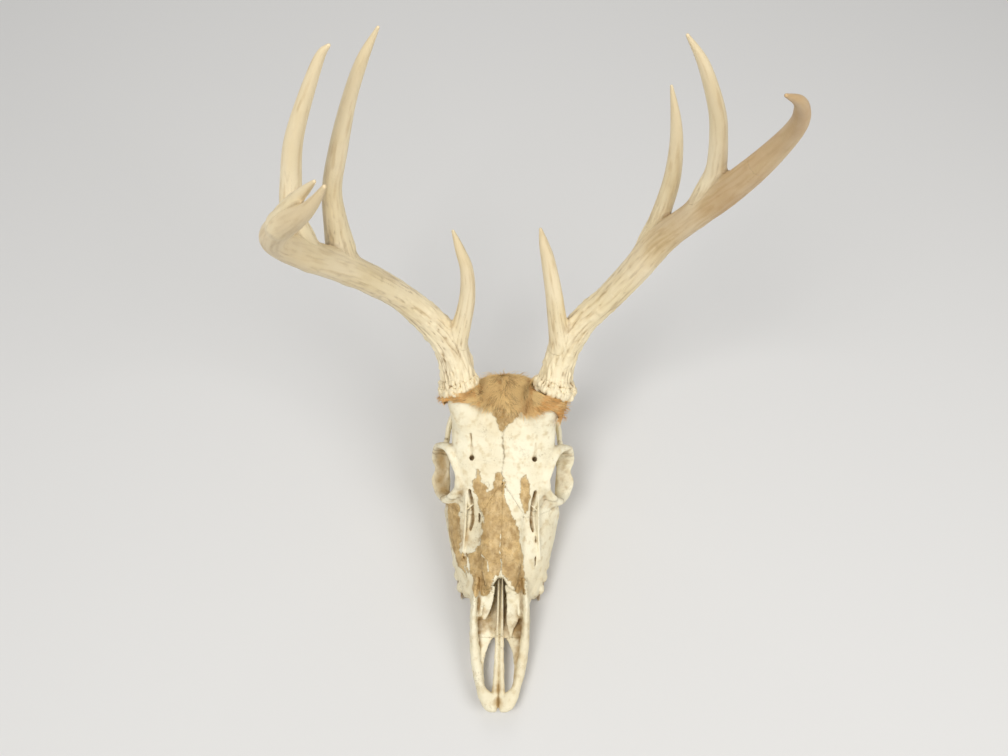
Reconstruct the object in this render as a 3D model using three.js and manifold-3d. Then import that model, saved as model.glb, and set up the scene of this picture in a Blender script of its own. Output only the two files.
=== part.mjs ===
// The skull of a white-tailed buck without its lower jaw, with both antlers and a dried
// strip of scalp, lying on its cheek teeth and on the two processes beside the occiput.
//
// Millimetres, +Z up. The skull is drawn with y running back from the tip of the nose,
// x to the animal's left and z up from the surface it lies on. The whole group is then
// moved so that the origin is at the middle of the footprint.

import * as THREE from "three";
import { mergeVertices } from "three/addons/utils/BufferGeometryUtils.js";
import Module from "manifold-3d";

const wasm = await Module();
wasm.setup();

// ---------------------------------------------------------------- driving dimensions

const TOOTH_CROWN = 13; // height of the cheek teeth below the bone
const NASAL_PLATE = 4; // thickness of the nose bones
const SUTURE = 0.3; // gap between neighbouring bones
const HIDE_DEPTH = 6; // thickness of the dried scalp with its flat hair
const BURR_RADIUS = 16.6; // knobbly ring at the root of each antler
const BURR_FOOT = 3.4; // how far it reaches down from the root
const HIDE_SIDE_EDGE = { right: 100, left: 90 }; // how low the scalp hangs on each side
const FOOTPRINT = new THREE.Vector3(3.99, 152.55, 0); // middle of the footprint, from the nose

// Openings and hollows as eggs: the left one's middle, its half lengths and its turn in degrees.
const EYE_SOCKET = { middle: [52, 189, 64], half: [32, 18.5, 21.5], turn: [0, 0, -8] };
const TEMPLE = { middle: [51, 222, 66], half: [11, 24, 26], turn: [0, 0, 6] };
const SOCKET_PLATE = { middle: [57.5, 189, 70.4], half: [19.5, 17, 19.4], turn: [0, 0, -8] };
const BROW_HOLE = { middle: [27.5, 189, 98], half: [2.4, 2.6, 6], turn: [10, 0, 0] };
const THROAT = { middle: [0, 200, 24], half: [10.5, 36, 13], turn: [0, 0, 0] };
const SPINE_HOLE = { middle: [0, 281, 45], half: [8.5, 14, 9], turn: [-15, 0, 0] };

// Rounded knobs, given in the same way.
const NECK_JOINT = { middle: [12.5, 277, 40], half: [7.6, 7, 10.5], turn: [-20, 0, 0] };
const EAR_BULB = { middle: [22, 246, 31], half: [6.5, 10, 8], turn: [0, 0, 0] };

const BONE = { color: 0xe9dfc8, roughness: 0.72, metalness: 0 };
const ANTLER = { color: 0xd9c7a0, roughness: 0.55, metalness: 0 };
const HIDE = { color: 0xb07a3e, roughness: 0.9, metalness: 0 };

// ---------------------------------------------------------------- shape functions

// The value at u, from 0 to 1, of a smooth curve through evenly counted rows of numbers.
function through(rows, u) {
  const last = rows.length - 1;
  const place = Math.min(u * last, last - 1e-9);
  const i = Math.floor(place);
  const t = place - i;
  const row = (k) => rows[Math.max(0, Math.min(last, k))];
  return rows[0].map((_, k) => {
    const [a, b, c, d] = [row(i - 1)[k], row(i)[k], row(i + 1)[k], row(i + 2)[k]];
    return b + 0.5 * t * (c - a + t * (2 * a - 5 * b + 4 * c - d + t * (3 * (b - c) + d - a)));
  });
}

// A closed surface through rings of points, with its two ends closed by a fan.
function skin(rings) {
  const around = rings[0].length;
  const middle = (ring) => ring.reduce((m, p) => m.add(p), new THREE.Vector3()).divideScalar(around);
  const points = [...rings.flat(), middle(rings[0]), middle(rings.at(-1))];
  const faces = [];
  for (let i = 0; i < rings.length - 1; i++) {
    for (let j = 0; j < around; j++) {
      const [a, b] = [i * around + j, i * around + ((j + 1) % around)];
      faces.push(a, b, b + around, a, b + around, a + around);
    }
  }
  const [front, back, end] = [points.length - 2, points.length - 1, (rings.length - 1) * around];
  for (let j = 0; j < around; j++) {
    const next = (j + 1) % around;
    faces.push(front, next, j, back, end + j, end + next);
  }
  const geometry = new THREE.BufferGeometry().setFromPoints(points);
  geometry.setIndex(faces);
  return geometry;
}

// Six times the volume that the faces enclose: below zero if they are inside out.
function signedVolume(position, index) {
  const [a, b, c] = [new THREE.Vector3(), new THREE.Vector3(), new THREE.Vector3()];
  let sum = 0;
  for (let i = 0; i < index.length; i += 3) {
    a.fromBufferAttribute(position, index[i]);
    b.fromBufferAttribute(position, index[i + 1]);
    c.fromBufferAttribute(position, index[i + 2]);
    sum += a.dot(b.cross(c));
  }
  return sum;
}

// A three.js geometry as a solid that can be joined and cut.
function solid(geometry) {
  const plain = geometry.clone();
  plain.deleteAttribute("normal");
  plain.deleteAttribute("uv");
  const merged = mergeVertices(plain, 1e-4);
  const position = merged.attributes.position;
  const index = Uint32Array.from(merged.index.array);
  if (signedVolume(position, index) < 0) index.reverse();
  return new wasm.Manifold(
    new wasm.Mesh({ numProp: 3, vertProperties: Float32Array.from(position.array), triVerts: index }),
  );
}

// The largest separate piece of a solid, so that no crumb is left beside a cut.
const largest = (one) => one.decompose().reduce((a, b) => (b.volume() > a.volume() ? b : a));

const joined = (solids) => solids.reduce((all, one) => all.add(one));
const mirrored = (rows) => rows.map(([x, ...rest]) => [-x, ...rest]);
const rounded = (value, power) => Math.sign(value) * Math.abs(value) ** power;

// A body whose sections stand across y. Each row holds y, half width, top, bottom, the
// height where it is widest and its bulge: 2 is an ellipse, more is boxier, less is peaked.
function body(rows, { along = 14, around = 24, grow = 0 } = {}) {
  const rings = [];
  for (let i = 0; i <= along; i++) {
    const [y, half, top, bottom, widest, bulge] = through(rows, i / along);
    const ring = [];
    for (let j = 0; j < around; j++) {
      const angle = (2 * Math.PI * j) / around;
      const x = (half + grow) * rounded(Math.cos(angle), 2 / bulge);
      const lift = rounded(Math.sin(angle), 2 / bulge);
      const reach = lift > 0 ? top + grow - widest : widest - bottom;
      ring.push(new THREE.Vector3(x, y, widest + reach * lift));
    }
    rings.push(ring);
  }
  return solid(skin(rings));
}

// A rail running back along y, with an oval section that stands across y. Each row holds y,
// the section's middle x and z, its half width and its half height.
function rail(rows, { along = 8, around = 8 } = {}) {
  const rings = [];
  for (let i = 0; i <= along; i++) {
    const [y, x, z, wide, high] = through(rows, i / along);
    const ring = [];
    for (let j = 0; j < around; j++) {
      const angle = (2 * Math.PI * (j + 0.5)) / around;
      ring.push(new THREE.Vector3(x + wide * Math.cos(angle), y, z + high * Math.sin(angle)));
    }
    rings.push(ring);
  }
  return solid(skin(rings));
}

// A bar carried along a curve. Each row holds x, y, z, the section's half width across the
// guide and its half thickness along it.
function bar(rows, { along = 10, around = 10, guide = new THREE.Vector3(0, 0, 1), closed = false } = {}) {
  const line = closed ? [...rows, rows[0]] : rows;
  const centre = new THREE.CatmullRomCurve3(
    rows.map(([x, y, z]) => new THREE.Vector3(x, y, z)), closed, "catmullrom", 0.5,
  );
  const rings = [];
  const steps = closed ? along : along + 1;
  for (let i = 0; i < steps; i++) {
    const u = i / along;
    const [, , , wide, thin] = through(line, u);
    const place = centre.getPoint(u);
    const ahead = centre.getTangent(u);
    const side = new THREE.Vector3().crossVectors(ahead, guide).normalize();
    const rise = new THREE.Vector3().crossVectors(side, ahead).normalize();
    const ring = [];
    for (let j = 0; j < around; j++) {
      const angle = (2 * Math.PI * j) / around;
      ring.push(place.clone()
        .addScaledVector(side, wide * Math.cos(angle))
        .addScaledVector(rise, thin * Math.sin(angle)));
    }
    rings.push(ring);
  }
  return closed ? solid(hoop(rings)) : solid(skin(rings));
}

// A surface through rings of points that come round to the first one again.
function hoop(rings) {
  const [count, around] = [rings.length, rings[0].length];
  const faces = [];
  for (let i = 0; i < count; i++) {
    for (let j = 0; j < around; j++) {
      const [a, b] = [i * around + j, i * around + ((j + 1) % around)];
      const [c, d] = [((i + 1) % count) * around + j, ((i + 1) % count) * around + ((j + 1) % around)];
      faces.push(a, b, d, a, d, c);
    }
  }
  const geometry = new THREE.BufferGeometry().setFromPoints(rings.flat());
  geometry.setIndex(faces);
  return geometry;
}

// An egg from its middle, half lengths and turn; sign -1 gives the one on the right side.
function egg({ middle, half, turn }, sign = 1, detail = 8) {
  const [x, y, z] = middle;
  const [pitch, roll, yaw] = turn.map(THREE.MathUtils.degToRad);
  const place = new THREE.Matrix4().compose(
    new THREE.Vector3(sign * x, y, z),
    new THREE.Quaternion().setFromEuler(new THREE.Euler(pitch, sign * roll, sign * yaw)),
    new THREE.Vector3(...half),
  );
  const geometry = new THREE.SphereGeometry(1, detail, Math.ceil(detail * 0.7));
  return solid(geometry.applyMatrix4(place));
}

// A box between two corners.
function block(low, high) {
  const size = high.map((value, k) => value - low[k]);
  const geometry = new THREE.BoxGeometry(...size);
  return solid(geometry.translate(...low.map((value, k) => value + size[k] / 2)));
}

// Everything inside an outline drawn in the side view as [y, z], between two values of x.
function sideRegion(outline, fromX, toX) {
  const shape = new THREE.Shape(outline.map(([y, z]) => new THREE.Vector2(y, z)));
  const geometry = new THREE.ExtrudeGeometry(shape, { depth: toX - fromX, bevelEnabled: false });
  const upright = new THREE.Matrix4().makeBasis(
    new THREE.Vector3(0, 1, 0), new THREE.Vector3(0, 0, 1), new THREE.Vector3(1, 0, 0),
  );
  return solid(geometry.applyMatrix4(upright).translate(fromX, 0, 0));
}

// Everything inside an outline drawn from above as [x, y], between two heights.
function topRegion(outline, fromZ, toZ) {
  const shape = new THREE.Shape(outline.map(([x, y]) => new THREE.Vector2(x, y)));
  const geometry = new THREE.ExtrudeGeometry(shape, { depth: toZ - fromZ, bevelEnabled: false });
  return solid(geometry.translate(0, 0, fromZ));
}

// A solid and its mirror image across the skull's middle plane.
const bothSides = (make) => make(1).add(make(-1));
const side = (sign, rows) => (sign > 0 ? rows : mirrored(rows));

// ---------------------------------------------------------------- the skull's bones

const BRAINCASE = [
  [188, 30, 94, 52, 72, 2.3],
  [206, 37, 105, 42, 70, 2.4],
  [222, 40, 111, 36, 68, 2.3],
  [238, 40, 110, 32, 64, 2.2],
  [252, 39, 103, 30, 60, 2.2],
  [264, 38, 93, 30, 56, 2.3],
  [272, 35, 81, 31, 52, 2.4],
  [278, 25, 68, 34, 48, 2.4],
];

const FOREHEAD = [
  [150, 22, 73, 50, 60, 2.2],
  [164, 33, 80, 56, 68, 2.3],
  [178, 38, 88, 62, 78, 2.4],
  [192, 40, 96, 66, 85, 2.5],
  [206, 43.5, 105, 66, 90, 2.5],
  [219, 44, 113, 66, 94, 2.6],
  [230, 43, 116, 66, 95, 2.6],
  [241, 36, 111, 70, 90, 2.3],
];

const NASAL_ROOF = [
  [91, 12, 56, 44, 49, 2.4],
  [104, 15, 60, 36, 51, 2.6],
  [122, 17, 65, 34, 55, 2.6],
  [142, 18, 72, 38, 61, 2.5],
  [160, 18, 79, 46, 68, 2.4],
  [174, 17, 86, 56, 76, 2.2],
];

const FACE = [
  [74, 23, 38, 14, 21, 2.3],
  [90, 26, 47, 13, 22, 2.0],
  [104, 33, 53, 13, 22, 1.8],
  [120, 40, 59, 13, 24, 1.7],
  [138, 45, 66, 14, 27, 1.7],
  [154, 48.5, 73, 16, 32, 1.75],
  [167, 50, 79, 22, 40, 1.9],
  [177, 40, 82, 32, 52, 2.0],
];

const INTERORBITAL = [
  [164, 26, 80, 34, 60, 2.2],
  [182, 17, 90, 36, 66, 2.4],
  [200, 19, 96, 36, 66, 2.4],
];

const PREMAXILLA = [
  [1, 4.4, 13.5, 3.2, 2.4],
  [4, 6.6, 14, 5.4, 3.6],
  [10, 8.4, 14, 7.0, 4.3],
  [14, 10.0, 14, 7.0, 4.4],
  [21, 14.9, 14.5, 3.8, 4.4],
  [34, 18.0, 15.5, 4.2, 4.6],
  [48, 20.2, 18, 4.1, 6.2],
  [62, 21.6, 22.5, 3.5, 9.0],
  [76, 21.8, 28.5, 3.2, 12.0],
  [90, 21.0, 35, 3.2, 12.0],
  [102, 19.5, 42, 3.0, 8.0],
];

const PREMAXILLA_SHELF = [
  [12, 12.6, 13, 3.2, 2.4],
  [30, 15.3, 13.2, 2.9, 2.0],
  [46, 15.8, 14.4, 4.2, 2.0],
  [57, 14.4, 15.6, 7.0, 2.2],
  [64, 11.8, 16.6, 10.4, 2.6],
  [78, 12.0, 17.6, 11.6, 3.0],
  [94, 12.0, 18.5, 12.0, 3.4],
];

const PALATINE_PROCESS = [
  [4, 2.9, 13.5, 2.6, 3.2],
  [16, 2.7, 14, 2.5, 3.2],
  [28, 2.1, 14.5, 1.9, 2.8],
  [46, 1.7, 16, 1.5, 3.0],
  [66, 1.7, 18.5, 1.5, 3.6],
];

const VOMER = [
  [63.5, 0, 23, 3.1, 4.0],
  [80, 0, 28, 2.9, 7.0],
  [100, 0, 34, 2.6, 13],
  [128, 0, 40, 2.4, 17],
];

const TURBINATE_LEFT = [
  [61, 9.4, 18.8, 1.4, 1.2],
  [72, 10.4, 27.6, 5.0, 1.8],
  [86, 9.8, 39.5, 4.6, 2.0],
  [96, 9.4, 48.5, 6.0, 2.8],
];

const TURBINATE_RIGHT = [
  [72, -13.6, 26, 1.6, 1.2],
  [78, -12.4, 31, 3.6, 1.8],
  [86, -11, 38.6, 4.8, 2.0],
  [95, -10, 47.5, 5.8, 2.8],
];

const ORBIT_RIM = [
  [38.5, 186, 86, 1.8, 2.2],
  [44.5, 200, 88.6, 2.8, 4.0],
  [53, 208.6, 77.8, 3.2, 6.8],
  [54.6, 205, 61.5, 3.2, 7.2],
  [54.4, 190.3, 49.8, 3.4, 7.4],
  [52.6, 175, 47.8, 3.8, 7.0],
  [46.5, 166.8, 59.5, 3.4, 5.2],
  [40, 172.5, 76.5, 2.0, 2.6],
];

// The long slit between the face's bones in front of each eye.
const FACE_WINDOW = [
  [27.4, 167.7, 77, 1.3, 6],
  [27, 152, 67.5, 1.7, 6],
  [26.9, 140.6, 56.5, 1.5, 5],
];

// The hollow that runs beside the nasal bones.
const NASAL_VALLEY = [
  [96, 25.5, 53, 4, 3],
  [120, 26.5, 60, 5, 4],
  [145, 27.5, 70, 5, 4],
  [160, 27, 78, 4, 3],
];

const CHEEK_ARCH = [
  [55, 199, 55, 4.6, 5.0],
  [54.5, 212, 53, 3.0, 6.0],
  [51, 226, 52, 2.4, 5.2],
  [49.5, 240, 53, 2.6, 5.0],
  [44, 251, 53, 4.2, 5.6],
  [32, 255, 52, 7.0, 6.4],
];

const CHEEK_RIDGE = [
  [184, 54, 47, 4.4, 5.0],
  [166, 50, 42, 4.6, 7.0],
  [148, 44.5, 35, 3.6, 7.5],
  [130, 37, 29, 3.4, 7.0],
];

const PEDICLE = [
  [27, 211, 91, 11, 15],
  [31.4, 223, 106.5, 12, 13.4],
  [37.3, 238.0, 126.2, 12.8, 12.8],
];

const JUGULAR_PROCESS = [
  [29, 260, 44, 6.5, 10.0],
  [28.8, 264, 27, 4.4, 7.6],
  [28, 265.5, 11, 3.2, 5.4],
  [27.5, 265, -1, 2.8, 4.6],
];

const PTERYGOID = [
  [168, 15.5, 30, 3.0, 12],
  [184, 14.5, 27, 1.8, 12],
  [200, 13.5, 28, 1.8, 10],
  [212, 12.5, 34, 2.4, 6],
];

const SKULL_BASE = [
  [186, 0, 42, 9, 5],
  [214, 0, 37, 9, 5],
  [244, 0, 32, 12, 5],
  [272, 0, 32, 15, 6],
];

const NAPE_CREST = [
  [36.5, 256, 57, 3.2, 4.6],
  [31, 267, 69, 3.2, 4.2],
  [16, 273.5, 76.5, 3.2, 3.6],
  [-4, 275, 78, 3.4, 3.6],
];

// The three premolars and three molars: where the row starts, and each one's length and half width.
const TOOTH_ROW_START = 97;
const TEETH = [[10.4, 5.4], [11.2, 6.2], [11.2, 6.8], [13.4, 7.2], [15.2, 7.5], [14.8, 7.1]];
const ARCADE = [[27.6, 97], [30.6, 108], [33.2, 120], [35.0, 134], [35.6, 150], [34.2, 176]];

// How far the middle of the tooth row stands from the skull's middle plane at y.
function arcadeAt(y) {
  const k = ARCADE.findIndex(([, at]) => at >= y);
  const [[x0, y0], [x1, y1]] = [ARCADE[Math.max(k - 1, 0)], ARCADE[Math.max(k, 1)]];
  return x0 + ((x1 - x0) * (y - y0)) / (y1 - y0);
}

// One cheek tooth, a rounded prism that stands on the flat of its crown.
function tooth(sign, start, length, across) {
  const outline = [];
  const corners = 8;
  for (let j = 0; j < corners; j++) {
    const angle = (2 * Math.PI * (j + 0.5)) / corners;
    outline.push(new THREE.Vector2(
      across * rounded(Math.cos(angle), 0.8),
      (length / 2 - 0.1) * rounded(Math.sin(angle), 0.6),
    ));
  }
  const depth = TOOTH_CROWN + 6;
  const geometry = new THREE.ExtrudeGeometry(new THREE.Shape(outline), { depth, bevelEnabled: false });
  const middle = start + length / 2;
  return solid(geometry.translate(sign * arcadeAt(middle), middle, 0));
}

function toothRow(sign) {
  let start = TOOTH_ROW_START;
  return joined(TEETH.map(([length, across]) => {
    const made = tooth(sign, start, length, across);
    start += length;
    return made;
  }));
}

// The ring of bone round one eye.
const orbitRim = (sign) => bar(side(sign, ORBIT_RIM), {
  along: 15,
  around: 6,
  closed: true,
  guide: new THREE.Vector3(1, 0, 0.1 * sign),
});

// The bone that holds the roots of one tooth row.
const SOCKET_RIDGE = [
  [94, 27.0, 22, 5.4, 8.5],
  [112, 31.6, 22, 7.6, 9],
  [134, 35.0, 22, 8.6, 9],
  [156, 35.4, 23, 8.8, 10],
  [177, 33.8, 26, 6.6, 12],
];

const mirroredRail = (rows) => rows.map(([y, x, ...rest]) => [y, -x, ...rest]);
const sideRail = (sign, rows) => (sign > 0 ? rows : mirroredRail(rows));
const bars = (rows, options) => bothSides((sign) => bar(side(sign, rows), options));
const rails = (rows, options) => bothSides((sign) => rail(sideRail(sign, rows), options));

// The braincase, forehead, nose and face as solid lofts, before anything is hollowed.
function filledSkull() {
  return joined([
    body(BRAINCASE, { along: 7, around: 12 }),
    body(FOREHEAD, { along: 7, around: 14 }),
    body(NASAL_ROOF, { along: 4, around: 12 }),
    body(FACE, { along: 6, around: 12 }),
    body(INTERORBITAL, { along: 3, around: 12 }),
  ]);
}

// The eye sockets, the hollows behind them, the nose passage, the palate's vault and the
// smaller openings.
function hollows() {
  const passage = [
    [70, 15, 46, 17.5, 30, 2.2],
    [92, 14, 52, 18.5, 35, 2.2],
    [112, 12, 53, 24, 38, 2.2],
    [136, 8, 52, 30, 41, 2.0],
  ];
  const vault = [
    [80, 13, 14, -4, 2, 2.4],
    [104, 22, 18, -4, 3, 2.4],
    [140, 25.5, 20, -4, 4, 2.4],
    [182, 25, 21, -4, 4, 2.4],
  ];
  return joined([
    body(passage, { along: 3, around: 8 }),
    body(vault, { along: 3, around: 8 }),
    egg(THROAT),
    egg(SPINE_HOLE),
    bothSides((sign) => egg(EYE_SOCKET, sign, 12)),
    bothSides((sign) => egg(TEMPLE, sign, 9)),
    rails(NASAL_VALLEY, { along: 3, around: 7 }),
    bars(FACE_WINDOW, { along: 2, around: 6, guide: new THREE.Vector3(0, 0, 1) }),
    bothSides((sign) => egg(BROW_HOLE, sign, 6)),
  ]);
}

// Every ridge, rim, arch and process that stands out from the skull.
function processes() {
  return joined([
    bothSides(orbitRim),
    bars(CHEEK_ARCH, { along: 6, around: 6 }),
    bars(PEDICLE, { along: 2, around: 12, guide: new THREE.Vector3(1, 0, 0) }),
    bars(JUGULAR_PROCESS, { along: 3, around: 6, guide: new THREE.Vector3(0, 1, 0) }),
    bars(NAPE_CREST, { along: 4, around: 6 }),
    rails(CHEEK_RIDGE, { along: 3, around: 6 }),
    rails(PTERYGOID, { along: 3, around: 6 }),
    rails(SOCKET_RIDGE, { along: 4, around: 6 }),
    rail(SKULL_BASE, { along: 3, around: 6 }),
    bothSides((sign) => egg(NECK_JOINT, sign, 7)),
    bothSides((sign) => egg(EAR_BULB, sign, 6)),
  ]);
}

// The skull in one piece, standing on its teeth and jugular processes at height zero.
function wholeSkull() {
  const snout = joined([
    rails(PREMAXILLA, { along: 10, around: 7 }),
    rails(PREMAXILLA_SHELF, { along: 6, around: 6 }),
    rails(PALATINE_PROCESS, { along: 4, around: 6 }),
    rail(TURBINATE_LEFT, { along: 3, around: 5 }),
    rail(TURBINATE_RIGHT, { along: 3, around: 5 }),
  ]);
  return filledSkull().subtract(hollows()).add(processes()).add(snout)
    .subtract(bothSides((sign) => egg(SOCKET_PLATE, sign, 10)))
    .add(bothSides(toothRow))
    .subtract(block([-1, -2, 0], [1, 3, 40]))
    .intersect(block([-90, -20, 0], [90, 300, 200]));
}

// The forehead and pedicles grown outwards: two of these give the scalp its two faces.
function scalpBody(grow) {
  const pedicle = PEDICLE.map(([x, y, z, wide, thin]) => [x, y, z, wide + grow, thin + grow]);
  return joined([
    body(BRAINCASE, { along: 7, around: 12, grow }),
    body(FOREHEAD, { along: 7, around: 14, grow }),
    bars(pedicle, { along: 2, around: 12, guide: new THREE.Vector3(1, 0, 0) }),
  ]);
}

// The strip of scalp left round both pedicles, longer on the left where a flap hangs down.
function scalp() {
  const outline = [
    [-62, 224], [-46, 223], [-24, 225], [-14, 227], [4, 227], [13, 222], [26, 218], [35, 220],
    [43, 218], [50, 211], [62, 209], [62, 262], [24, 270], [-24, 270], [-62, 262],
  ];
  const below = block([-80, 150, 0], [-24, 300, HIDE_SIDE_EDGE.right])
    .add(block([24, 150, 0], [80, 300, HIDE_SIDE_EDGE.left]));
  return scalpBody(HIDE_DEPTH).subtract(scalpBody(SUTURE))
    .intersect(topRegion(outline, 70, 150))
    .subtract(below)
    .subtract(burrRoom(RIGHT_BEAM))
    .subtract(burrRoom(LEFT_BEAM));
}

// ---------------------------------------------------------------- antlers

// Each row holds x, y, z and radius, from root to tip.
const RIGHT_BEAM = [
  [-38, 239.9, 128.1, 13.4],
  [-41.5, 253.6, 144.1, 13.2],
  [-47.8, 263.2, 161.2, 12.8],
  [-62.3, 269.6, 183.4, 11.8],
  [-82, 270.1, 213.7, 10.6],
  [-100.5, 262, 246, 10.8],
  [-116.8, 250.6, 276.3, 11],
  [-130.9, 236.6, 305.2, 10.6],
  [-140.9, 225, 330, 9.9],
  [-141.5, 213.6, 352, 8.9],
  [-132.4, 202.1, 375.4, 7.9],
  [-119.5, 191.4, 395.7, 6.7],
  [-107.9, 182.4, 413.6, 4.6],
  [-99, 177.1, 429, 3],
  [-91.4, 173.2, 444.1, 1.2],
];
const RIGHT_TINES = {
  brow_tine: [
    [-43, 258.5, 152, 9.5],
    [-34.6, 270, 182, 7.2],
    [-30.6, 277, 206, 6.2],
    [-30.6, 282, 232, 5.1],
    [-35.3, 286.6, 250.9, 3.7],
    [-40.1, 291.1, 267.3, 1.2],
  ],
  second_tine: [
    [-113, 255, 264, 9],
    [-116, 260, 281, 10],
    [-117.5, 266.3, 301.5, 8.2],
    [-115.7, 269.3, 333.3, 6.5],
    [-107, 272, 367.2, 5.9],
    [-95.1, 274.6, 405.6, 4.5],
    [-83.6, 274.2, 435.4, 3.4],
    [-71.8, 271.9, 459.5, 1],
  ],
  third_tine: [
    [-131, 236, 303, 8.5],
    [-135, 239.5, 320, 9.3],
    [-137.2, 242.9, 338.9, 7.4],
    [-133, 247, 366.6, 6.5],
    [-124, 249, 403, 5.4],
    [-102.7, 249.9, 453.7, 3.1],
    [-94.1, 248.4, 466.8, 1],
  ],
  fourth_tine: [
    [-129.5, 199.2, 382.9, 6.8],
    [-122.5, 198, 396.5, 5.6],
    [-114, 194.5, 411, 3.8],
    [-106.5, 191, 422, 2.6],
    [-100, 187, 432.4, 1.1],
  ],
};
const LEFT_BEAM = [
  [42, 239.9, 128.1, 13.4],
  [44.5, 255.2, 145, 12.2],
  [50.3, 264.6, 159.7, 11.7],
  [63.3, 274.1, 181.3, 11],
  [79.2, 277.4, 206.3, 10.4],
  [95.8, 279.7, 240, 10.7],
  [110.4, 280.5, 275.1, 10.4],
  [123.6, 273.4, 308, 9.8],
  [137, 264.2, 341.9, 9.8],
  [147.4, 252.2, 378.9, 8.4],
  [153.4, 241.2, 411.8, 6.5],
  [153, 229.6, 437.4, 5.3],
  [147.8, 219.3, 456.5, 4.3],
  [139.6, 207.8, 473.3, 3],
  [127.7, 196, 487.3, 1],
];
const LEFT_TINES = {
  brow_tine: [
    [47, 258, 150, 9.5],
    [41, 270.5, 183, 7.6],
    [36.5, 280, 210, 6.6],
    [30.7, 288.7, 238.3, 5.2],
    [27, 291.6, 253.8, 3.7],
    [23.8, 294.7, 267.2, 1.2],
  ],
  second_tine: [
    [100, 281.5, 248, 8.5],
    [104.5, 288, 266, 8.6],
    [107.5, 292, 284, 6.9],
    [110.9, 296.6, 316.7, 5.9],
    [109.4, 298.9, 345.8, 4.7],
    [105.3, 300.9, 370, 3.4],
    [98.1, 302.4, 396.3, 1],
  ],
  third_tine: [
    [126.5, 270, 313, 8.5],
    [129.5, 271.8, 334, 8.4],
    [130.9, 272.4, 355.9, 6.6],
    [126.8, 272.1, 382.2, 5.6],
    [120.2, 270.3, 407.8, 5],
    [105, 265.6, 444, 3.4],
    [91.1, 261.2, 467.2, 1],
  ],
};

// A round horn along a curve; grow makes it fatter by that much all over.
const horn = (rows, along, around, grow = 0) => bar(
  rows.map(([x, y, z, r]) => [x, y, z, r + grow, r + grow]),
  { along, around, guide: new THREE.Vector3(0.35, -0.9, 0.2) },
);

// A shape turned about the root of an antler, from [radius, distance along the beam] points.
function turnedAtRoot(beam, profile, around = 12) {
  const [root, next] = [beam[0], beam[1]].map(([x, y, z]) => new THREE.Vector3(x, y, z));
  const turn = new THREE.Quaternion().setFromUnitVectors(
    new THREE.Vector3(0, 1, 0), next.sub(root).normalize(),
  );
  const geometry = new THREE.LatheGeometry(profile.map(([r, h]) => new THREE.Vector2(r, h)), around);
  return { geometry, finish: () => solid(geometry.applyQuaternion(turn).translate(root.x, root.y, root.z)) };
}

// The knobbly ring where the antler meets its pedicle.
function burr(beam) {
  const { geometry, finish } = turnedAtRoot(beam, [
    [0, -BURR_FOOT], [13, -BURR_FOOT], [BURR_RADIUS - 1, -2], [BURR_RADIUS, 0.4], [15, 3.2],
    [10, 6], [0, 6],
  ]);
  const position = geometry.attributes.position;
  for (let i = 0; i < position.count; i++) {
    const [x, z] = [position.getX(i), position.getZ(i)];
    const angle = Math.atan2(z, x);
    const knob = 1 + 0.045 * Math.cos(angle * 9) + 0.03 * Math.sin(angle * 5);
    position.setX(i, x * knob);
    position.setZ(i, z * knob);
  }
  return finish();
}

// The room that the foot of an antler needs above its pedicle.
const burrRoom = (beam) => turnedAtRoot(beam, [
  [0, -BURR_FOOT - SUTURE], [24, -BURR_FOOT - SUTURE], [24, 24], [0, 24],
]).finish();

// The half of space on the far side of a plane through the beam's row, as a large block.
function beyond(beam, row, push) {
  const place = through(beam, row / (beam.length - 1));
  const before = through(beam, (row - 0.2) / (beam.length - 1));
  const origin = new THREE.Vector3(...place.slice(0, 3));
  const ahead = origin.clone().sub(new THREE.Vector3(...before.slice(0, 3))).normalize();
  const turn = new THREE.Quaternion().setFromUnitVectors(new THREE.Vector3(0, 0, 1), ahead);
  const reach = 400;
  const geometry = new THREE.BoxGeometry(reach, reach, reach).translate(0, 0, reach / 2 + push);
  return solid(geometry.applyQuaternion(turn).translate(origin.x, origin.y, origin.z));
}

// One antler as named solids: the beam in three lengths, parted beside its forks, and its tines.
function antler(beam, tines, forks) {
  const whole = horn(beam, 18, 9).add(burr(beam));
  const [low, high] = forks;
  const nodes = {
    beam_base: largest(whole.subtract(beyond(beam, low, -SUTURE / 2))),
    beam_middle: largest(
      whole.intersect(beyond(beam, low, SUTURE / 2)).subtract(beyond(beam, high, -SUTURE / 2)),
    ),
    beam_tip: largest(whole.intersect(beyond(beam, high, SUTURE / 2))),
  };
  const clear = horn(beam, 18, 9, SUTURE);
  for (const [name, rows] of Object.entries(tines)) {
    nodes[name] = largest(horn(rows, 8, 7).subtract(clear));
  }
  return nodes;
}

// ---------------------------------------------------------------- parting the skull

const LOW = -20;
const HIGH = 160;

// The slanting seam in front of the cheek bones, moved back or forward by some millimetres.
const snoutSeam = (shift) => [
  [-20, LOW], [60 + shift, LOW], [60 + shift, 16], [96 + shift, 46], [96 + shift, HIGH], [-20, HIGH],
];
// The seam between the face and the braincase, which runs up in front of the orbit.
const faceSeam = (shift) => [
  [-20, LOW], [176 + shift, LOW], [176 + shift, 34], [166 + shift, 52], [150 + shift, 62],
  [146 + shift, 90], [146 + shift, HIGH], [-20, HIGH],
];
// The nose bones from above, ending in a wedge between the frontal bones.
const noseOutline = (inset) => [
  [13 - inset, 86], [17 - inset, 120], [17.5 - inset, 150 - inset], [0, 172 - inset],
  [-17.5 + inset, 150 - inset], [-17 + inset, 120], [-13 + inset, 86],
];
// The cheek bone from the side: the lower orbit rim and the front of the arch.
const cheekSeam = (shift) => [
  [172 + shift, 38], [166 + shift, 56], [182, 62 - shift], [200, 68 - shift], [212, 68 - shift],
  [226 - shift, 58], [226 - shift, 40], [200, 36],
];

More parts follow.
